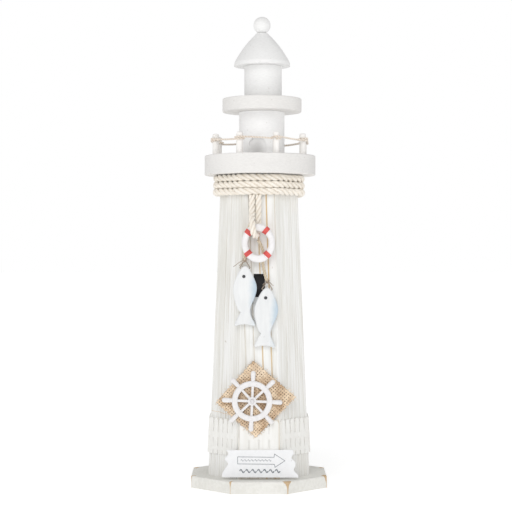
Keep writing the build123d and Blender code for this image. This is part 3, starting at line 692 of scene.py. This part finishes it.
def stave_solid(facet, columns_at, rows, depth_at, hole):
    """Board of the tower: a front and a back of the same columns and rows, joined round."""
    turn = radians(-90 + 45 * facet)
    across = Vector((-sin(turn), cos(turn), 0))
    outward = Vector((cos(turn), sin(turn), 0))
    corners = []
    numbers = {"groove": [], "bare": []}
    for layer in (0, 1):
        for z in rows:
            for n, x in enumerate(columns_at(z, STAVE_THICK * layer)):
                deep, groove, bare = depth_at(n, x, z) if layer == 0 else (STAVE_THICK, 0, 0)
                distance = front_distance(z) - deep
                corners.append((outward * distance + across * x + Vector((0, 0, z))) * MM)
                numbers["groove"].append(groove)
                numbers["bare"].append(bare)
    faces = grid_faces(len(columns_at(rows[0], 0.0)), len(rows), hole)
    piece = link_mesh(f"board_{facet + 1}", corners, faces, whitewash, numbers, smooth=False)
    stand_in(piece, "tower", f"stave_{facet + 1}")


EDGE_SOFT = 0.28
HALF_MEAN = front_distance(120.0) * HALF_TAN
SIDE_ROWS = 57
side_rows = [STAVE_LOW + (STAVE_HIGH - STAVE_LOW) * n / SIDE_ROWS for n in range(SIDE_ROWS + 1)]


def combed_board(facet):
    """One of the seven boards with grooves combed down it."""
    grooves = comb_grooves(100 + facet)
    columns = combed_columns(grooves, HALF_MEAN)

    def side_columns(z, deep):
        half = (front_distance(z) - deep) * HALF_TAN
        places = []
        for share, number, part in columns:
            sway = 0.0
            if number is not None:
                sway = 0.16 * noise.noise(Vector((number * 3.7, z / 30.0, facet)))
            places.append(share * half + sway)
        return places

    def side_depth(n, x, z):
        share, number, part = columns[n]
        if number is None:
            return (EDGE_SOFT if abs(share) == 1.0 else 0.0), 0.0, 0.0
        middle, half_width, depth, phase = grooves[number]
        cut = (1 - part * part) * groove_fade(phase, z, facet)
        return depth * cut, cut, 0.0

    stave_solid(facet, side_columns, side_rows, side_depth, None)


for facet in range(1, 8):
    combed_board(facet)

# the front board: its strips lean a little, so their joints cross its rows at a slope
STRIP_SLOPE = 0.033
STRIP_JOINTS = [-19.2, -12.8, -6.4, 0.0, 6.5, 12.7]
BARE_JOINTS = {0.0: 0.8, 6.5: 1.0}
JOINT_HALF = 0.55
JOINT_DEEP = 0.5
SIDE_COLUMNS, MIDDLE_COLUMNS = 46, 38
LOWER_ROWS, WINDOW_ROWS, UPPER_ROWS = 54, 7, 30
WINDOW_WIDE, WINDOW_TALL = WINDOW_RIGHT - WINDOW_LEFT, WINDOW_TOP - WINDOW_LOW
front_rows = [STAVE_LOW + (WINDOW_LOW - STAVE_LOW) * n / LOWER_ROWS for n in range(LOWER_ROWS)]
front_rows += [WINDOW_LOW + WINDOW_TALL * n / WINDOW_ROWS for n in range(WINDOW_ROWS + 1)]
front_rows += [WINDOW_TOP + (STAVE_HIGH - WINDOW_TOP) * n / UPPER_ROWS for n in range(1, UPPER_ROWS + 1)]


def front_columns(z, deep):
    """Columns across the front board, with two that stay on the window's sides."""
    half = (front_distance(z) - deep) * HALF_TAN
    left = [-half + (WINDOW_LEFT + half) * n / SIDE_COLUMNS for n in range(SIDE_COLUMNS)]
    middle = [WINDOW_LEFT + WINDOW_WIDE * n / MIDDLE_COLUMNS for n in range(MIDDLE_COLUMNS)]
    right = [WINDOW_RIGHT + (half - WINDOW_RIGHT) * n / SIDE_COLUMNS for n in range(SIDE_COLUMNS + 1)]
    return left + middle + right


def front_depth(n, x, z):
    """Depth of the strips' joints and the faint tool marks on the front board."""
    half = front_distance(z) * HALF_TAN
    if abs(abs(x) - half) < 0.02:
        return EDGE_SOFT, 0.0, 0.0
    deep = 0.05 * (1 + noise.noise(Vector((x * 1.3, z / 60.0, 4.0))))
    groove, bare = 0.0, 0.0
    for joint in STRIP_JOINTS:
        line = joint + STRIP_SLOPE * (185.0 - z) + 0.1 * noise.noise(Vector((joint, z / 25.0, 1.0)))
        near = abs(x - line)
        if near < JOINT_HALF:
            cut = 1 - (near / JOINT_HALF) ** 2
            deep += JOINT_DEEP * cut
            groove = max(groove, cut * 0.7)
            bare = max(bare, BARE_JOINTS.get(joint, 0.12) * min(1.0, 1.5 * cut))
    if z < FENCE_TOP:
        bare = max(bare, 0.5 if x > 11.0 else 0.22)
    return deep, groove, bare


stave_solid(0, front_columns, front_rows, front_depth,
            (SIDE_COLUMNS, SIDE_COLUMNS + MIDDLE_COLUMNS, LOWER_ROWS, LOWER_ROWS + WINDOW_ROWS))

# ---- window pane --------------------------------------------------------------------------------
# A thin board painted matt black, glued behind the opening in the front stave so that the
# window looks dark and deep.
black = mottled("black_paint", 0.05, 300.0, 4.0, ((0.012, 0.012, 0.014), (0.05, 0.045, 0.05)),
                (0.4, 0.8), (0.55, 0.8))
finish_node("window_pane", black)

# ---- picket fence -------------------------------------------------------------------------------
# Thin panels sawn from board, one glued to each side: pickets with rounded tops and two
# rails. The wash is thin, and the sawn edges show warm wood.
fence_paint = plain_paint(
    "fence_paint", (0.90, 0.895, 0.87), (0.84, 0.83, 0.795), (0.55, 0.47, 0.36), 0.09, 0.08, 0.78)
for number in range(8):
    finish_node(f"fence_{number + 1}", fence_paint)

# wash that ran into the gaps between the pickets and set there
FENCE_WIDE = 29.3
FENCE_GAP = 1.1
WASH_HALF = 0.6
WASH_ROWS = 16
chance = random.Random(3)
corners, faces = [], []
for side in range(8):
    pickets = 6 if side % 2 else 4
    pitch = (FENCE_WIDE + FENCE_GAP) / pickets
    turn = radians(45 * side)
    for n in range(1, pickets):
        across = pitch * n - (FENCE_WIDE + FENCE_GAP) / 2
        tall = FENCE_TALL - (pitch - FENCE_GAP) / 2 - chance.uniform(0.3, 1.8)
        first = len(corners)
        for row in range(WASH_ROWS + 1):
            up = 0.3 + tall * row / WASH_ROWS
            fill = 0.98 + 0.45 * noise.noise(Vector((side * 3.1 + n * 0.7, up * 0.3, 4.0)))
            if row == WASH_ROWS:
                fill = 0.3
            for x, proud in ((-WASH_HALF, 0.05), (-WASH_HALF, fill), (WASH_HALF, fill), (WASH_HALF, 0.05)):
                place = on_front(across + x, FENCE_FOOT, up, proud)
                corners.append((place.x * cos(turn) - place.y * sin(turn),
                                place.x * sin(turn) + place.y * cos(turn), place.z))
        for row in range(WASH_ROWS):
            for k in range(4):
                a, b = first + 4 * row + k, first + 4 * row + (k + 1) % 4
                faces.append((a, b, b + 4, a + 4))
        last = first + 4 * WASH_ROWS
        faces.append((first + 3, first + 2, first + 1, first))
        faces.append((last, last + 1, last + 2, last + 3))
pooled_wash = link_mesh("pooled_wash", corners, faces, fence_paint)
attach(pooled_wash, "tower")

# ---- sign board ---------------------------------------------------------------------------------
# Thin board with waved ends, glued to the front of the fence, in smooth brighter paint. An
# arrow's outline and, below it, two rows of short waves are printed on it in grey.
sign_paint = plain_paint(
    "sign_paint", (0.89, 0.895, 0.905), (0.85, 0.855, 0.87), (0.6, 0.58, 0.55), 0.05, 1.0, 0.6)
finish_node("sign_board", sign_paint)

print_ink = mottled("grey_print", 0.02, 900.0, 2.0, ((0.17, 0.19, 0.21), (0.33, 0.35, 0.37)),
                    (0.35, 0.7), (0.6, 0.8))

SIGN_MIDDLE = 20.8
FENCE_THICK, SIGN_THICK = 1.4, 1.8
SIGN_FRONT = FENCE_THICK + SIGN_THICK
PRINT_HIGH, PRINT_SUNK = 0.05, 0.1
ARROW_UP, ARROW_LINE = 2.6, 0.42
WAVE_STEPS, WAVE_SHARE = 12, 0.82


def printed_line(points, width, corners, faces, closed):
    """Add a flat printed line through points on the sign, mitred at its corners."""
    first = len(corners)
    count = len(points)
    for n, (x, up) in enumerate(points):
        here = Vector((x, up))
        before = Vector(points[n - 1] if closed or n else points[0])
        after = Vector(points[(n + 1) % count] if closed or n < count - 1 else points[n])
        into = (here - before).normalized() if (here - before).length else (after - here).normalized()
        out = (after - here).normalized() if (after - here).length else into
        mitre = (Vector((-into.y, into.x)) + Vector((-out.y, out.x))).normalized()
        reach = width / 2 / max(0.4, mitre.dot(Vector((-out.y, out.x))))
        for side in (1, -1):
            for proud in (-PRINT_SUNK, PRINT_HIGH):
                corners.append(on_front(x + mitre.x * reach * side, SIGN_MIDDLE,
                                        up + mitre.y * reach * side, SIGN_FRONT + proud))
    for n in range(count if closed else count - 1):
        a, b = first + 4 * n, first + 4 * ((n + 1) % count)
        for one, two in ((0, 1), (1, 3), (3, 2), (2, 0)):
            faces.append((a + one, b + one, b + two, a + two))
    if not closed:
        last = first + 4 * (count - 1)
        faces.append((first, first + 1, first + 3, first + 2))
        faces.append((last + 2, last + 3, last + 1, last))


corners, faces = [], []
ARROW = [(-15.9, 2.5), (11.2, 2.2), (11.5, 4.6), (19.3, -0.4), (11.9, -5.2), (11.4, -3.0), (-15.9, -2.7)]
printed_line([(x, up + ARROW_UP) for x, up in ARROW], ARROW_LINE, corners, faces, True)
for start, stop, waves, up, tall, thick in ((-13.6, 9.6, 9, 2.5, 0.55, 0.34),
                                            (-14.4, 16.4, 7, -5.4, 1.15, 0.85)):
    pitch = (stop - start) / waves
    for n in range(waves):
        stroke = [(start + pitch * (n + WAVE_SHARE * step / WAVE_STEPS),
                   up + tall * sin(2 * pi * step / WAVE_STEPS)) for step in range(WAVE_STEPS + 1)]
        printed_line(stroke, thick, corners, faces, False)
sign_print = link_mesh("sign_print", corners, faces, print_ink, smooth=False)
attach(sign_print, "tower")

# ---- burlap patch -------------------------------------------------------------------------------
# A square of coarse jute cloth glued on corner-up behind the wheel, its two side corners
# bent back round the tower. Plain weave, cut raw, so its edges fray.
jute, tree, surface, bump = new_material("jute", 0.09, Sheen_Weight=0.3, Sheen_Roughness=0.7)
group = add_node(tree, "ShaderNodeGroup", node_tree=fibres)
group.inputs["Fibres Round"].default_value = 5.0
shade = group.outputs["Shade"]
yarn = tint(tree, spread(tree, shade, 0.38, 0.62), (0.47, 0.30, 0.165), (0.95, 0.77, 0.56))
slubs = spread(tree, grain(tree, place_on(tree), 95.0, 2.0), 0.5, 0.75, 0.0, 0.6)
yarn = tint(tree, slubs, yarn, (0.93, 0.78, 0.60))
# painted shade: the low places between the yarns are tinted near black
holes = spread(tree, attribute(tree, "depth"), 0.28, 0.8)
wire(tree, surface, tint(tree, holes, yarn, (0.10, 0.055, 0.028)),
     spread(tree, shade, 0.3, 0.7, 0.95, 0.85), bump, group.outputs["Height"])

PATCH_MIDDLE = 68.7
PATCH_BACK = 1.5
PATCH_THICK = 1.1
PATCH_FLAT = 16.0
PATCH_BEND_R = 30.0
PATCH_CORNERS = [(-4.3, 28.3), (27.6, 1.4), (-2.4, -28.4), (-32.2, -2.7)]
PATCH_SIDE = 42.0
THREADS = 22
STEPS = 8
YARN_R = 0.36
YARN_SWING = 0.15
HOLE_DEEP = 0.3
BACK_LIFT = 0.12
RAGGED = 0.45


def patch_place(s, t):
    """Across and up the face, in mm, of a place on the square of cloth."""
    top, right, low, left = [Vector(c) for c in PATCH_CORNERS]
    return (top * (1 - s) + right * s) * (1 - t) + (left * (1 - s) + low * s) * t


def on_patch(x, up, lift):
    """Point in metres on the bent patch, lifted off its back face by a distance in mm."""
    beyond = max(0.0, abs(x) - PATCH_FLAT)
    turned = min(1.0, beyond / (PATCH_BEND_R + lift))
    fall = (PATCH_BEND_R + lift) * (1 - sqrt(1 - turned * turned))
    return on_front(x, PATCH_MIDDLE, up, PATCH_BACK + lift - fall)


def weave(a, b):
    """Height in mm of the upper yarn of a plain weave, and how far along and round it is."""
    i, j = floor(a), floor(b)
    fat_a = 0.74 + 0.24 * noise.noise(Vector((i * 5.3, b * 0.25, 2.0)))
    fat_b = 0.74 + 0.24 * noise.noise(Vector((j * 7.1, a * 0.25, 9.0)))
    warp = YARN_SWING * (-1) ** i * cos(pi * (b - 0.5))
    weft = -YARN_SWING * (-1) ** j * cos(pi * (a - 0.5))
    off_a, off_b = (2 * (a - i) - 1) / fat_a, (2 * (b - j) - 1) / fat_b
    warp_top = warp + YARN_R * (sqrt(1 - off_a * off_a) if abs(off_a) < 1 else -1.0)
    weft_top = weft + YARN_R * (sqrt(1 - off_b * off_b) if abs(off_b) < 1 else -1.0)
    if warp_top >= weft_top:
        return warp_top, b, abs(off_a), i
    return weft_top, a, abs(off_b), j + 40


corners, numbers = [], fibre_numbers()
grid = THREADS * STEPS + 1
middle_lift = PATCH_THICK - YARN_R - YARN_SWING


def ragged_edge(across_edge, along_edge, phase):
    """How far, in threads, the cloth strays at a place that is close to a raw edge."""
    near_edge = (abs(across_edge / THREADS - 0.5) * 2) ** 8
    return RAGGED * noise.noise(Vector((along_edge * 1.1, phase, 1.0))) * near_edge


def inside_cloth(place):
    """A place in threads, kept just inside the cloth's edges."""
    return min(max(place, 0.01), THREADS - 0.01)


for layer in (0, 1):
    for row in range(grid):
        for column in range(grid):
            a, b = column / STEPS, row / STEPS
            height, along_yarn, round_yarn, yarn_number = weave(inside_cloth(a), inside_cloth(b))
            height = max(height, -HOLE_DEEP)
            drift = noise.noise_vector(Vector((a * 0.22, b * 0.22, 3.0))) * 0.35 * 0.4
            flat = patch_place((a + drift.x + ragged_edge(a, b, 5.0)) / THREADS,
                               (b + drift.y + ragged_edge(b, a, 8.0)) / THREADS)
            corners.append(on_patch(flat.x, flat.y, BACK_LIFT if layer else middle_lift + height))
            numbers["along"].append(along_yarn * 1.45 + yarn_number * 11)
            numbers["around"].append(round_yarn)
            numbers["depth"].append(0.0 if layer else min(1.0, max(0.0, (YARN_R - height) / 0.7)))
# its rows run the other way from a stave's, so its faces are turned round
cloth_faces = [(face[0], *face[:0:-1]) for face in grid_faces(grid, grid)]
jute_cloth = link_mesh("jute_cloth", corners, cloth_faces, jute, numbers)


def yarn_depth(n, out):
    """A loose yarn end is a little shaded all over."""
    return 0.3


# the raw edges' yarn ends, and one long thread that has worked loose at the lower left
chance = random.Random(7)
corners, faces = [], []
numbers = fibre_numbers()
for edge in range(4):
    for n in range(THREADS):
        for _ in range(2):
            share = (n + chance.uniform(0.15, 0.85)) / THREADS
            reach = chance.uniform(0.2, 1.1) if chance.random() < 0.8 else chance.uniform(1.0, 2.4)
            inner = -0.9 / PATCH_SIDE
            outer = reach / PATCH_SIDE
            lean = chance.uniform(-0.5, 0.5) * outer
            line = []
            for step in range(5):
                out = inner + (outer - inner) * step / 4
                slip = share + lean * (step / 4) ** 2
                s, t = [(slip, -out), (1 + out, slip), (slip, 1 + out), (-out, slip)][edge]
                flat = patch_place(s, t)
                line.append(on_patch(flat.x, flat.y, 0.45 + 0.2 * sin(step + n)))
            tube_parts(line, chance.uniform(0.10, 0.2) * MM, 5, corners, faces, numbers, yarn_depth)
LOOSE_THREAD = [(-22.0, -10.2, 1.2), (-25.5, -11.4, 1.4), (-29.0, -9.6, 0.9), (-32.4, -9.6, 1.3),
                (-35.2, -8.8, 1.0)]
loose = [on_patch(x, up, lift) / MM for x, up, lift in LOOSE_THREAD]
tube_parts(even_points(spline_points(loose), 0.5 * MM), 0.17 * MM, 6, corners, faces, numbers,
           yarn_depth)
jute_fringe = link_mesh("jute_fringe", corners, faces, jute, numbers)
for piece in (jute_cloth, jute_fringe):
    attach(piece, "tower")
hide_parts("burlap_patch")

# ---- ship's wheel and its pin -------------------------------------------------------------------
# The wheel is sawn and turned from one piece of close-grained wood and painted in satin
# white. It turns on a white round-headed pin driven into the front stave.
wheel_paint = plain_paint(
    "wheel_paint", (0.86, 0.845, 0.85), (0.80, 0.785, 0.785), (0.6, 0.52, 0.42), 0.05, 1.0, 0.46)
finish_node("ship_wheel", wheel_paint)
pin_paint = plain_paint(
    "pin_paint", (0.80, 0.79, 0.80), (0.68, 0.66, 0.67), (0.4, 0.36, 0.3), 0.03, 1.0, 0.4)
finish_node("wheel_pin", pin_paint)

# ---- rope collar --------------------------------------------------------------------------------
# Three turns of the same rope wound tight round the top of the tower, under the gallery.
# Each turn lies nearly level and steps down to the next at the back, where both ends are cut.
ROPE_DIA = 5.1
ROPE_FAT = 1.07
ROPE_TURNS = 3
ROPE_PITCH = 5.2
ROPE_TOP_Z = 234.8
ROPE_START = 135.0
ROPE_SLOPE = 0.15
ROPE_STAND_OFF = 0.3
CORNER_EASE = 0.75
LEVEL_SHARE = 0.75
ROUTE_STEPS = 16


def collar_place(turns):
    """Point in mm on the collar's line, on a corner of the tower or in the middle of a face."""
    whole, part = divmod(turns, 1.0)
    fall = ROPE_SLOPE * min(part, LEVEL_SHARE) / LEVEL_SHARE
    fall += (1 - ROPE_SLOPE) * max(part - LEVEL_SHARE, 0.0) / (1 - LEVEL_SHARE)
    z = ROPE_TOP_Z - ROPE_PITCH * (whole + fall)
    distance = front_distance(z) + ROPE_DIA / 2 + ROPE_STAND_OFF
    if round(turns * ROUTE_STEPS) % 2:
        distance = distance / cos(HALF_SIDE) + CORNER_EASE
    turn = radians(ROPE_START + 360 * turns)
    return (distance * cos(turn), distance * sin(turn), z)


collar_steps = int(ROUTE_STEPS * (ROPE_TURNS - 0.25)) + 1
collar_route = [collar_place(n / ROUTE_STEPS) for n in range(collar_steps)]
collar_line = even_points(spline_points(collar_route), 0.75 * MM)
for point in collar_line:
    point.z += 0.10 * MM * noise.noise(point * 55)
wound_rope = laid_rope("wound_rope", collar_line, ROPE_DIA * ROPE_FAT * MM, ROPE_LAY, 3, 12,
                       rope_fibre)
stand_in(wound_rope, "tower", "collar_rope")

# ---- life ring ----------------------------------------------------------------------------------
# An oval ring of wood with rounded edges, in the same satin white as the wheel. Four red
# bands are painted round it. It hangs loose in its rope.
finish_node("life_ring", wheel_paint)
band_paint = plain_paint(
    "band_paint", (0.72, 0.10, 0.085), (0.55, 0.065, 0.06), (0.85, 0.40, 0.36), 0.05, 1.0, 0.5)
finish_node("ring_bands", band_paint)

# ---- fish and their eyes ------------------------------------------------------------------------
# Two fish sawn from 5 mm board with softened edges: white, their backs misted with pale
# blue, and thin enough that a little grain shows. The eyes are black glass beads.
FISH_BLUE = (0.52, 0.62, 0.70)
for side, (mouth_x, mouth_z, tilt) in FISH_MOUTHS.items():
    fish_paint, tree, surface, painted = paint_parts(
        f"fish_paint_{side}", (0.82, 0.83, 0.83), (0.765, 0.775, 0.78), (0.6, 0.6, 0.6), 0.06, 0.15, 0.6)
    spot = place_on(tree)
    axes = add_node(tree, "ShaderNodeSeparateXYZ", {0: spot}).outputs
    along_fish = maths(tree, "SUBTRACT", mouth_z * MM, axes["Z"])
    middle_x = maths(tree, "ADD", times(tree, along_fish, tan(tilt)), mouth_x * MM)
    off_middle = maths(tree, "SUBTRACT", axes["X"], middle_x)
    mist = maths(tree, "SUBTRACT", grain(tree, spot, 210.0, 4.0), 0.5)
    edge = maths(tree, "ADD", off_middle, times(tree, mist, 4.0 * MM))
    length_mask = times(tree, spread(tree, along_fish, 4.0 * MM, 13.0 * MM, 0.15, 1.0),
                        spread(tree, along_fish, 27.0 * MM, 38.0 * MM, 1.0, 0.35))
    blue = times(tree, spread(tree, edge, 1.6 * MM, 8.2 * MM), length_mask)
    tree.links.new(tint(tree, blue, painted, FISH_BLUE), surface.inputs["Base Color"])
    finish_node(f"fish_{side}", fish_paint)

bead = mottled("black_bead", 0.01, 1500.0, 2.0, ((0.008, 0.008, 0.01), (0.03, 0.03, 0.035)), None,
               (0.12, 0.3), Coat_Weight=0.6, Coat_Roughness=0.08)
for side in FISH_MOUTHS:
    finish_node(f"fish_eye_{side}", bead)

# ---- gallery, lanterns, roof and ball -----------------------------------------------------------
# Discs, cylinders and a bell roof turned from softwood and painted white, all threaded on
# the dowel and glued down, with a turned ball pinned on top.
KNOT_BROWN = (0.42, 0.34, 0.25)
turned_paint, tree, surface, painted = paint_parts(
    "turned_paint", (0.80, 0.785, 0.765), (0.745, 0.73, 0.71), (0.5, 0.46, 0.4), 0.11, 3.2, 0.7)
dents = add_node(tree, "ShaderNodeTexVoronoi", {"Vector": place_on(tree), "Scale": 34.0})
dent_dark = times(tree, spread(tree, dents.outputs["Distance"], 0.018, 0.032, 1.0, 0.0), 0.75)
tree.links.new(tint(tree, dent_dark, painted, KNOT_BROWN), surface.inputs["Base Color"])
for node in ("gallery_deck", "upper_deck"):
    finish_node(node, turned_paint)
roof_paint = plain_paint(
    "roof_paint", (0.85, 0.847, 0.84), (0.80, 0.797, 0.79), (0.5, 0.46, 0.4), 0.08, 3.2, 0.7)
for node in ("upper_lantern", "roof", "finial"):
    finish_node(node, roof_paint)

# painted shade: the lower lantern's paint is tinted grey in and round its sunk doorway, on the front only
DOOR_MIDDLE_X, DOOR_LOW = -1.4 * MM, 252.5 * MM
DOOR_WIDE, DOOR_TALL = 8.6 * MM, 19.0 * MM
DOOR_SHADE_GREY = (0.36, 0.35, 0.34)
# painted light: this white is lighter than the other turned parts, against the shadow under the upper deck
lantern_paint, tree, surface, painted = paint_parts(
    "lantern_paint", (0.95, 0.948, 0.946), (0.90, 0.897, 0.895), (0.5, 0.46, 0.4), 0.11, 3.2, 0.7)
spot = place_on(tree)
axes = add_node(tree, "ShaderNodeSeparateXYZ", {0: spot}).outputs
door_x = maths(tree, "DIVIDE", maths(tree, "SUBTRACT", axes["X"], DOOR_MIDDLE_X), DOOR_WIDE)
door_up = maths(tree, "DIVIDE", maths(tree, "SUBTRACT", axes["Z"], DOOR_LOW), DOOR_TALL)
squared = maths(tree, "ADD", times(tree, door_x, door_x), times(tree, door_up, door_up))
off_door = maths(tree, "ADD", maths(tree, "SQRT", squared),
                 times(tree, grain(tree, spot, 120.0, 3.0), 0.25))
at_front = spread(tree, axes["Y"], -12.0 * MM, -9.0 * MM, 1.0, 0.0)
# painted shade: grey strongest in the middle of the doorway, fading out round it
grey = times(tree, spread(tree, off_door, 0.25, 1.15, 0.55, 0.0), at_front)
tree.links.new(tint(tree, grey, painted, DOOR_SHADE_GREY), surface.inputs["Base Color"])
finish_node("lower_lantern", lantern_paint)

# ---- gallery posts ------------------------------------------------------------------------------
# Eight lengths of 5 mm dowel with rounded tops, in the same thin white as the fence. They
# are glued in holes in the gallery deck.
post_paint = plain_paint(
    "post_paint", (0.91, 0.89, 0.865), (0.85, 0.83, 0.80), (0.55, 0.47, 0.36), 0.10, 0.08, 0.74)
for number in range(8):
    finish_node(f"post_{number + 1}", post_paint)

# ---- railing twine ------------------------------------------------------------------------------
# One length of two-strand jute twine, pulled tight from post to post and taken once round
# each of them, with its ends tucked in at the back.
# painted shade: the third colour is tinted in down between the twine's strands
twine_fibre = fibre_material("twine_fibre", (0.90, 0.84, 0.76), (0.80, 0.70, 0.60),
                             (0.55, 0.44, 0.34), 0.06, 6.0, 0.88)
DECK_X = 0.9
DECK_THICK, RAIL_UP = 15.0, 10.6
RAIL_Z = STAVE_HIGH + DECK_THICK + RAIL_UP
POST_CIRCLE = 35.9
POST_TURN = radians(-3.0)
POST_DIA = 5.0
TWINE_DIA = 1.6
TWINE_LAY = 4.2
TURN_RISE = TWINE_DIA * 1.05
HUG = POST_DIA / 2 + TWINE_DIA / 2 + 0.05
TURN_STEPS = 14


def post_middle(turn):
    """Middle of a post, at the rail's height, that stands at an angle round the deck."""
    return Vector((DECK_X + POST_CIRCLE * cos(turn), POST_CIRCLE * sin(turn), RAIL_Z))


def off_post(angle, rise):
    """Step from a post's middle out to the twine that hugs it, and up."""
    return Vector((HUG * cos(angle), HUG * sin(angle), rise))


twine_line = []
for number in range(8):
    turn = radians(-90) + HALF_SIDE + POST_TURN + radians(45 * number)
    sag = 0.35 * noise.noise(Vector((number * 2.3, 1.0, 0.0)))
    for step in range(TURN_STEPS + 1):
        share = step / TURN_STEPS
        angle = turn - HALF_SIDE + share * radians(45 + 360)
        twine_line.append((post_middle(turn) + off_post(angle, TURN_RISE * share + sag)) * MM)
    if number < 7:
        leaving = post_middle(turn) + off_post(turn + HALF_SIDE, 0)
        landing = post_middle(turn + 2 * HALF_SIDE) + off_post(turn + HALF_SIDE, 0)
        for share in (0.2, 0.4, 0.6, 0.8):
            lift = TURN_RISE * (1 - share) - 0.44 * sin(pi * share)
            twine_line.append((leaving.lerp(landing, share) + Vector((0, 0, lift))) * MM)
last, first = twine_line[-1], twine_line[0]
for share in (0.15, 0.35, 0.55, 0.75, 0.92):
    twine_line.append(last.lerp(first, share) + Vector((0, 0, 0.3 * MM * sin(pi * share))))
rail = laid_rope("post_twine", even_points(twine_line, 0.4 * MM), TWINE_DIA * 1.05 * MM,
                 TWINE_LAY * MM, 2, 9, twine_fibre)
stand_in(rail, "tower", "rail_twine")
